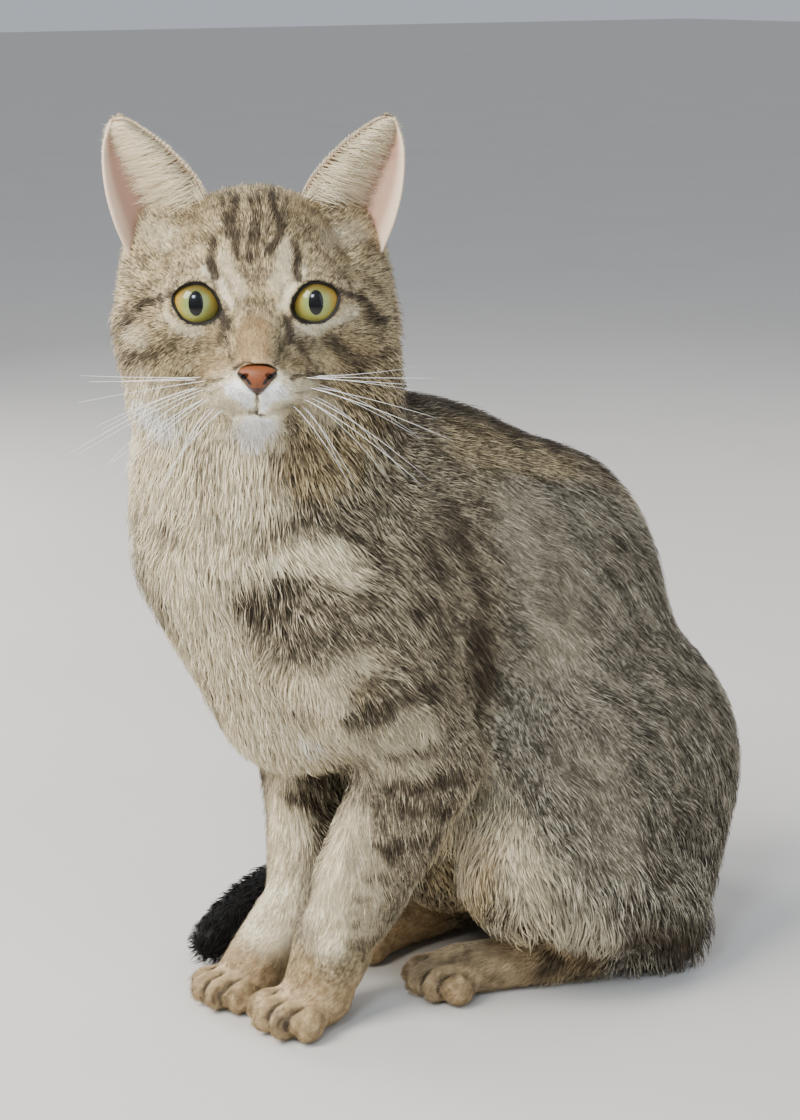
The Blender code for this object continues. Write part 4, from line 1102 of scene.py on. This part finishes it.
def ear_hair(side, material):
    """Long pale hairs from the inner edge across the cup, short ones on the rim and the back.
    They shorten towards the tip and never cross more than the cup's width."""
    dice = np.random.default_rng(50 + side)
    grid = ear_cup(side)[0]
    rows, columns = grid.shape[:2]
    along, over = np.gradient(grid, axis=0), np.gradient(grid, axis=1)
    back = unit(np.cross(over, along))
    back *= np.where(back[..., 1:2] < 0, -1, 1)
    chord = np.broadcast_to(unit(grid[:, -1:] - grid[:, :1]), grid.shape)
    edge = np.broadcast_to(unit(along[:, :1]), grid.shape)

    def at(values, row, column):
        """The grid's values at the nearest row and column below."""
        return values[np.clip(row.astype(int), 0, rows - 1),
                      np.clip(column.astype(int), 0, columns - 1)]

    sets = []
    for kind, count, breadth, height, long, wide in EAR_HAIRS:
        spot = dice.uniform(*height, count)
        row = spot * (rows - 1)
        column = dice.uniform(*breadth, count) * (columns - 1)
        root, behind = at(grid, row, column), at(back, row, column)
        up = at(edge, row, column)
        spot = spot[:, None]
        if kind == "inner":
            ways, normal = at(chord, row, column) + (0.75 * spot - 0.12) * up, -behind
        elif kind == "middle":
            ways, normal = at(chord, row, column) + 0.25 * up, -behind
        elif kind == "base":
            ways, normal = up + 0.35 * at(chord, row, column), -behind
        elif kind == "back":
            ways, normal = at(along, row, column), behind
        else:
            toward = 1 if breadth[0] > 0.5 else -1
            ways = up + 0.25 * toward * at(chord, row, column)
            normal = unit(toward * at(chord, row, column) - 0.4 * behind)
        root = root + 0.2 * dice.normal(size=root.shape) + 0.6 * normal * (kind != "rim")
        length = long * (1.2 - 0.75 * spot[:, 0]) * dice.uniform(0.5, 1.15, count)
        room = np.linalg.norm(grid[:, -1] - grid[:, 0], axis=1)
        room = at(room[:, None], row, row * 0)
        length = np.minimum(length, dice.uniform(0.45, 0.8, count) * room)
        lift = np.radians(dice.uniform(2, 14, count))
        ways = unit(ways + 0.12 * dice.normal(size=ways.shape))
        if kind in ("inner", "middle", "base"):
            normal = unit(-at(back, row * 0 + rows // 2, column * 0 + columns // 2)
                          + 0.3 * normal)
            lift = np.radians(dice.uniform(-2, 16, count))
        tufts = tuft_arrays(root, normal, ways, length, np.full(count, wide), lift, True, dice)
        marks = np.tile(EAR_LOOKS.get(kind, INSIDE_LOOK), (count, 1))
        tone = np.clip(dice.normal(0.55 if kind == "back" else 0.7, 0.2, count), 0, 1)
        sets.append((tufts, np.stack([tone, np.zeros(count)], 1), marks, root, normal))
    tufts, strand, marks, roots, normals = (np.concatenate(part) for part in zip(*sets))
    size = tufts.shape[1]
    tufts = from_face(tufts.reshape(-1, 3)).reshape(-1, size, 3)
    places = unwrap_places(from_face(roots), normals)
    return coat_piece(f"coat_ear_{side_name(side)}", tufts, strand, marks, places, True, material,
                      "grey_brown_fur")


def tubes(lines, radii, sides=6):
    """Round spines along lines (count, steps, 3) with radii (steps), closed at both ends."""
    count, steps = lines.shape[:2]
    run = unit(np.gradient(lines, axis=1))
    side = unit(np.cross(run, [0.13, 0.31, 0.94]))
    up = np.cross(side, run)
    turn = np.linspace(0, 2 * math.pi, sides, endpoint=False)
    ring = side[:, :, None] * np.cos(turn)[:, None] + up[:, :, None] * np.sin(turn)[:, None]
    verts = lines[:, :, None] + ring * np.asarray(radii)[None, :, None, None]
    faces = np.vstack([grid_faces(steps, sides, True), end_faces(steps, sides)])[:, ::-1]
    faces = (faces[None] + steps * sides * np.arange(count)[:, None, None]).reshape(-1, 4)
    return verts.reshape(-1, 3), faces


def whiskers():
    """The whiskers of both pads: the CAD ones' lines, closer set, shorter by chance and sagging
    with the 2.2nd power of the share along them, as thin tapered spines."""
    dice = np.random.default_rng(3)
    share = np.linspace(0, 1, 20)
    lines = []
    for side in (1, -1):
        for height, droop, length, number in WHISKER_ROWS:
            for place in np.arange(0, number, 0.75):
                long = length * dice.uniform(0.72, 1.0)
                line = whisker_line(side, height, droop + dice.uniform(-6, 8), long, place, 20)
                sag = dice.uniform(-1.0, 6.0) * share ** 2.2
                line = line + dice.normal(0, [0.5, 0.3, 0.5]) - sag[:, None] * [0, 0, 1]
                lines.append(line)
    lines = placed(from_face(np.array(lines)))
    root, tip = 0.185, 0.035     # mm of radius
    radii = ((root - tip) * (1 - share) ** 0.7 + tip) * MM
    verts, faces = tubes(lines, radii)
    return made_mesh("whiskers", verts, faces)


# Materials

class Wire:
    """A socket that shader maths is written with: + - * / and powers add Math nodes."""

    def __init__(self, made, socket):
        self.made, self.socket = made, socket

    def math(self, operation, *values):
        """A Math node of the values or links."""
        return self.made.node("ShaderNodeMath", {"operation": operation}, dict(enumerate(values)))

    def __add__(self, other):
        return self.math("ADD", self, other)

    __radd__ = __add__

    def __sub__(self, other):
        return self.math("SUBTRACT", self, other)

    def __rsub__(self, other):
        return self.math("SUBTRACT", other, self)

    def __mul__(self, other):
        return self.math("MULTIPLY", self, other)

    __rmul__ = __mul__

    def __truediv__(self, other):
        return self.math("DIVIDE", self, other)

    def __rtruediv__(self, other):
        return self.math("DIVIDE", other, self)

    def __pow__(self, other):
        return self.math("POWER", self, other)

    def __rpow__(self, other):
        return self.math("POWER", other, self)


class Finish:
    """A material under construction."""

    def __init__(self, name):
        self.material = bpy.data.materials.new(name)
        self.material.use_nodes = True
        self.tree = self.material.node_tree
        self.shader = self.tree.nodes["Principled BSDF"]

    def node(self, kind, settings=None, values=None, out=0):
        """Adds a node, sets its settings, then its sockets' values or links."""
        made = self.tree.nodes.new(kind)
        for name, value in (settings or {}).items():
            setattr(made, name, value)
        for name, value in (values or {}).items():
            self.feed(made.inputs[name], value)
        return Wire(self, made.outputs[out])

    def feed(self, socket, value):
        """Links a wire to the socket, or sets the socket to a number, vector or colour."""
        if isinstance(value, Wire):
            self.tree.links.new(value.socket, socket)
        elif hasattr(value, "__len__") and len(value) == 3 and socket.type == "RGBA":
            socket.default_value = (*value, 1)
        else:
            socket.default_value = value

    def attribute(self, name):
        """The three parts of a named attribute."""
        vector = self.node("ShaderNodeAttribute", {"attribute_name": name}, out=1)
        parts = self.node("ShaderNodeSeparateXYZ", {}, {0: vector})
        return [Wire(self, socket) for socket in parts.socket.node.outputs]

    def place(self):
        """The place on the object, in metres."""
        return self.node("ShaderNodeTexCoord", out=3)

    def noise(self, scale, detail=2.0, stretch=None):
        """Noise over the place, which is stretched first if asked."""
        vector = self.place()
        if stretch:
            vector = self.node("ShaderNodeMapping", {}, {"Vector": vector, "Scale": stretch})
        return self.node("ShaderNodeTexNoise", {}, {"Vector": vector, "Scale": scale,
                                                    "Detail": detail})

    def mix(self, share, one, other):
        """The first colour at share 0 and the other at share 1."""
        return self.node("ShaderNodeMix", {"data_type": "RGBA"},
                         {"Factor": share, 6: one, 7: other}, out=2)

    def step(self, value, low, high):
        """0 at low and 1 at high, with a smooth run between them."""
        return self.node("ShaderNodeMapRange", {"interpolation_type": "SMOOTHSTEP"},
                         {"Value": value, "From Min": low, "From Max": high})

    def set(self, **values):
        """Sets or links the shader's sockets by name, with _ for each space."""
        for name, value in values.items():
            self.feed(self.shader.inputs[name.replace("_", " ")], value)

    def bump(self, height, strength, distance):
        """Turns a height into the shader's normal."""
        normal = self.node("ShaderNodeBump", {}, {"Height": height, "Strength": strength,
                                                  "Distance": distance})
        self.set(Normal=normal)


def coat_finish(name, skin=False):
    """Ticked hair: a dark root, a beige band and a dark tip, over which lie the pale, warm and
    dark markings, the dark share also holding painted shade. tone varies it from tuft to tuft,
    and a fine noise from speck to speck. A warm share below 0 turns the beige grizzled, and a
    pale share near 1 turns the cream white."""
    made = Finish(name)
    dark, pale, warm = made.attribute("marks")
    along, tone, black = made.attribute("strand")
    speck = made.noise(560.0, 2.0)
    tick = made.step(0.85 * tone + 1.1 * speck, 0.68, 1.26)
    beige = made.mix(tick, (0.20, 0.150, 0.085), (0.84, 0.68, 0.40))
    grizzle = made.mix(tick, (0.105, 0.092, 0.068), (0.62, 0.56, 0.43))
    beige = made.mix(made.step(warm, 0.0, -0.8), beige, grizzle)
    brown = made.mix(tone, (0.022, 0.016, 0.011), (0.105, 0.075, 0.045))
    ground = made.mix(made.step(along, 0.10, 0.55), brown, beige)
    tip = made.step(along, 0.72, 1.0) * made.step(tone, 0.62, 0.30)
    ground = made.mix(tip * 0.85, ground, (0.05, 0.036, 0.026))
    cream = made.mix(made.step(along, 0.0, 0.4), (0.62, 0.53, 0.35), (0.96, 0.87, 0.64))
    cream = made.mix(tone * 0.4, cream, (0.74, 0.61, 0.40))
    white = made.step(pale, 0.93, 1.0)
    cream = made.mix(white, cream, (0.96, 0.945, 0.91))
    colour = made.mix(pale, ground, cream)
    tan = made.mix(tone, (0.27, 0.165, 0.080), (0.58, 0.41, 0.21))
    colour = made.mix(made.step(warm, 0.0, 1.2), colour, tan)
    # Dark stripes together with the painted shade that shares their mark
    stripe_and_shade = made.step(dark * (1.3 - 0.6 * tone), 0.12, 0.85)
    colour = made.mix(stripe_and_shade * 0.95, colour, brown)
    colour = made.mix(black, colour, (0.006, 0.005, 0.0045))
    made.set(Base_Color=colour, Roughness=0.6, Specular_IOR_Level=0.2)
    if skin:
        made.bump(made.noise(420.0, 4.0, (1, 1, 0.35)), 0.7, 0.0006)
    return made.material


def eye_finish():
    """Iris of fine radial fibres, amber at the rim and green inside, round an upright pupil. Its
    top is darkened by a painted shadow of the lid.
    """
    made = Finish("wet_eye")
    x, _, z = made.attribute("gaze")
    reach = (x * x + z * z) ** 0.5
    angle = z.math("ARCTAN2", z, x)
    spokes = made.node("ShaderNodeCombineXYZ", {}, {0: angle * 7.0, 1: reach * 0.35, 2: 0.0})
    fibre = made.node("ShaderNodeTexNoise", {}, {"Vector": spokes, "Scale": 2.4, "Detail": 4.0})
    rim = made.step(reach + 1.6 * fibre, 4.6, 8.4)
    colour = made.mix(rim, (0.23, 0.25, 0.055), (0.47, 0.27, 0.045))
    lower = made.step(z + 1.5 * fibre, 2.0, -4.5)
    colour = made.mix(lower * 0.65, colour, (0.36, 0.37, 0.085))
    inner = made.step(reach, 5.2, 3.4)
    colour = made.mix(inner * 0.5, colour, (0.20, 0.29, 0.12))
    colour = made.mix(made.step(fibre, 0.50, 0.75) * 0.45, colour, (0.13, 0.13, 0.025))
    # Painted shadow of the upper lid over the iris's top
    colour = made.mix(made.step(z, 0.8, 6.4) * 0.8, colour, (0.07, 0.05, 0.015))
    colour = made.mix(made.step(reach, 7.4, 8.5), colour, (0.03, 0.022, 0.012))
    pupil = ((x / 2.6) ** 2 + (z / 4.35) ** 2) ** 0.5
    colour = made.mix(made.step(pupil, 1.08, 0.96), colour, (0.001, 0.001, 0.001))
    made.set(Base_Color=colour, Roughness=0.35, Specular_IOR_Level=0.1, Coat_Weight=0.85,
             Coat_Roughness=0.015, Coat_IOR=1.45)
    return made.material


def plain_finish(name, colour, other, scale, roughness, bump=0.0, coat=0.0):
    """A skin-like finish that varies softly between two colours, with a fine bump."""
    made = Finish(name)
    noise = made.noise(scale, 4.0)
    made.set(Base_Color=made.mix(noise, colour, other), Roughness=roughness, Coat_Weight=coat)
    if bump:
        made.bump(made.noise(scale * 6, 3.0), bump, 0.0003)
    return made.material


def nose_finish():
    """Brick-orange pebbled leather, dark at its rim, with painted shade in the nostrils and the
    slit below.
    """
    made = Finish("nose_leather_skin")
    hole, rim, _ = made.attribute("marks")
    soft = made.noise(260.0, 3.0)
    colour = made.mix(soft, (0.17, 0.046, 0.014), (0.25, 0.078, 0.026))
    colour = made.mix(made.step(rim, 0.1, 0.9) * 0.9, colour, (0.05, 0.025, 0.02))
    # Painted shade in the nostrils and the slit
    colour = made.mix(made.step(hole, 0.25, 0.8), colour, (0.01, 0.006, 0.005))
    made.set(Base_Color=colour, Roughness=0.45, Specular_IOR_Level=0.35)
    pebble = made.node("ShaderNodeTexVoronoi", {"distance": "EUCLIDEAN"},
                       {"Vector": made.place(), "Scale": 1900.0})
    made.bump(pebble, 0.55, 0.0002)
    return made.material


def ear_finish():
    """Thin pink skin inside with faint veins, cream at the rim, grey-brown on the back."""
    made = Finish("ear_skin")
    inside, rim, base = made.attribute("marks")
    soft = made.noise(70.0, 4.0)
    pink = made.mix(soft, (0.30, 0.165, 0.115), (0.44, 0.27, 0.19))
    # Darker towards the base: painted shade deep in the ear's funnel
    pink = made.mix(made.step(base, 0.2, 1.0) * 0.5, pink, (0.28, 0.14, 0.10))
    back = made.mix(soft, (0.24, 0.185, 0.13), (0.38, 0.31, 0.22))
    colour = made.mix(inside, back, pink)
    colour = made.mix(rim, colour, (0.66, 0.50, 0.36))
    made.set(Base_Color=colour, Roughness=0.55, Specular_IOR_Level=0.35, Subsurface_Weight=0.15,
             Subsurface_Radius=(0.004, 0.0015, 0.001), Subsurface_Scale=1.0)
    made.bump(made.noise(500.0, 4.0), 0.4, 0.0003)
    return made.material


# The studio

CAMERA_AT = (734.5, -489.8, 410)    # in the cat's millimetres
RIGHT = Vector((0.6157, 0.788, 0))
LOOK = Vector((-0.788 * 0.97014, 0.6157 * 0.97014, -0.24254))   # 14 degrees down
LENS = 77.14                        # mm
# Each light: how far it is to the right of the cat, above it and towards the camera in metres,
# its size, its watts and its colour
LIGHTS = (
    ("key_light", (-0.80, 0.75, 0.80), 0.65, 31, (1.0, 0.95, 0.87)),
    ("fill_light", (0.9, 0.25, 0.9), 1.2, 6, (0.92, 0.96, 1.0)),
    ("rim_light", (-1.0, 0.45, -0.75), 0.7, 18, (1.0, 0.98, 0.95)),
    ("window_light", (-0.20, 0.46, 1.0), 0.2, 5, (0.72, 0.86, 1.0)),
    ("back_light", (0.8, 0.9, -0.8), 0.7, 5, (1.0, 0.97, 0.92)),
)


def studio():
    """A pale floor, soft lights round the cat and the camera at the photograph's angle."""
    far = 12.0
    corners = np.array([(-far, -far, 0), (far, -far, 0), (far, far, 0), (-far, far, 0)])
    floor = made_mesh("floor", corners, np.array([[0, 1, 2, 3]]), smooth=False)
    floor.data.materials.append(plain_finish("pale_floor", (0.60, 0.58, 0.55), (0.66, 0.64, 0.61),
                                             6.0, 0.7))
    world = bpy.data.worlds.new("studio")
    bpy.context.scene.world = world
    world.use_nodes = True
    sky = world.node_tree.nodes["Background"]
    sky.inputs["Color"].default_value = (0.86, 0.91, 1.0, 1)
    sky.inputs["Strength"].default_value = 0.55
    middle = Vector(placed((10, 80, 170)))
    up = RIGHT.cross(LOOK)
    for name, offset, size, watts, tint in LIGHTS:
        light = bpy.data.lights.new(name, "AREA")
        light.size, light.energy, light.color = size, watts, tint
        made = linked(name, light)
        made.location = middle + RIGHT * offset[0] + up * offset[1] - LOOK * offset[2]
        made.rotation_euler = (middle - made.location).to_track_quat("-Z", "Y").to_euler()
    lens = bpy.data.cameras.new("camera")
    lens.lens = LENS
    lens.clip_start = 0.05
    camera = linked("camera", lens)
    camera.location = Vector(placed(CAMERA_AT))
    camera.rotation_euler = LOOK.to_track_quat("-Z", "Y").to_euler()
    bpy.context.scene.camera = camera


studio()
points, faces = skin_arrays()
skin = made_mesh("skin", placed(points), faces)
normals = arrays_of(skin.data)[1]
marks, black = marks_at(points + lie_of_coat(points)[2][:, None] * normals)
mark_points(skin, "marks", marks)
# The skin takes the colour a third of the way up a hair, darker than the tufts: painted shade
# between the tufts
patchy = 0.45 + 0.2 * ripple(points, 5, 61)
mark_points(skin, "strand", np.stack([np.full(len(points), 0.35), patchy, black], 1))
dress(skin, coat_finish("under_coat", skin=True), "grey_brown_fur", *FLESH)
coat = coat_finish("ticked_coat")
grown_coat(points, faces, normals, coat)

lid_skin = plain_finish("lid_skin", (0.006, 0.004, 0.003), (0.016, 0.010, 0.008), 300.0, 0.55, 0.3)
eye_skin, ear_skin = eye_finish(), ear_finish()
for side, name in ((1, "left"), (-1, "right")):
    dress(eyeball(side), eye_skin, "yellow_green_eye", f"eye_{name}")
    dress(lids(side), lid_skin, "nose_leather")
    dress(ear(side), ear_skin, "nose_leather", f"ear_{name}")
    ear_hair(side, coat)
dress(nose_leather(), nose_finish(), "nose_leather", "nose")
horn = plain_finish("whisker_horn", (0.80, 0.78, 0.74), (0.9, 0.88, 0.85), 80.0, 0.35)
dress(whiskers(), horn, "white_fur")
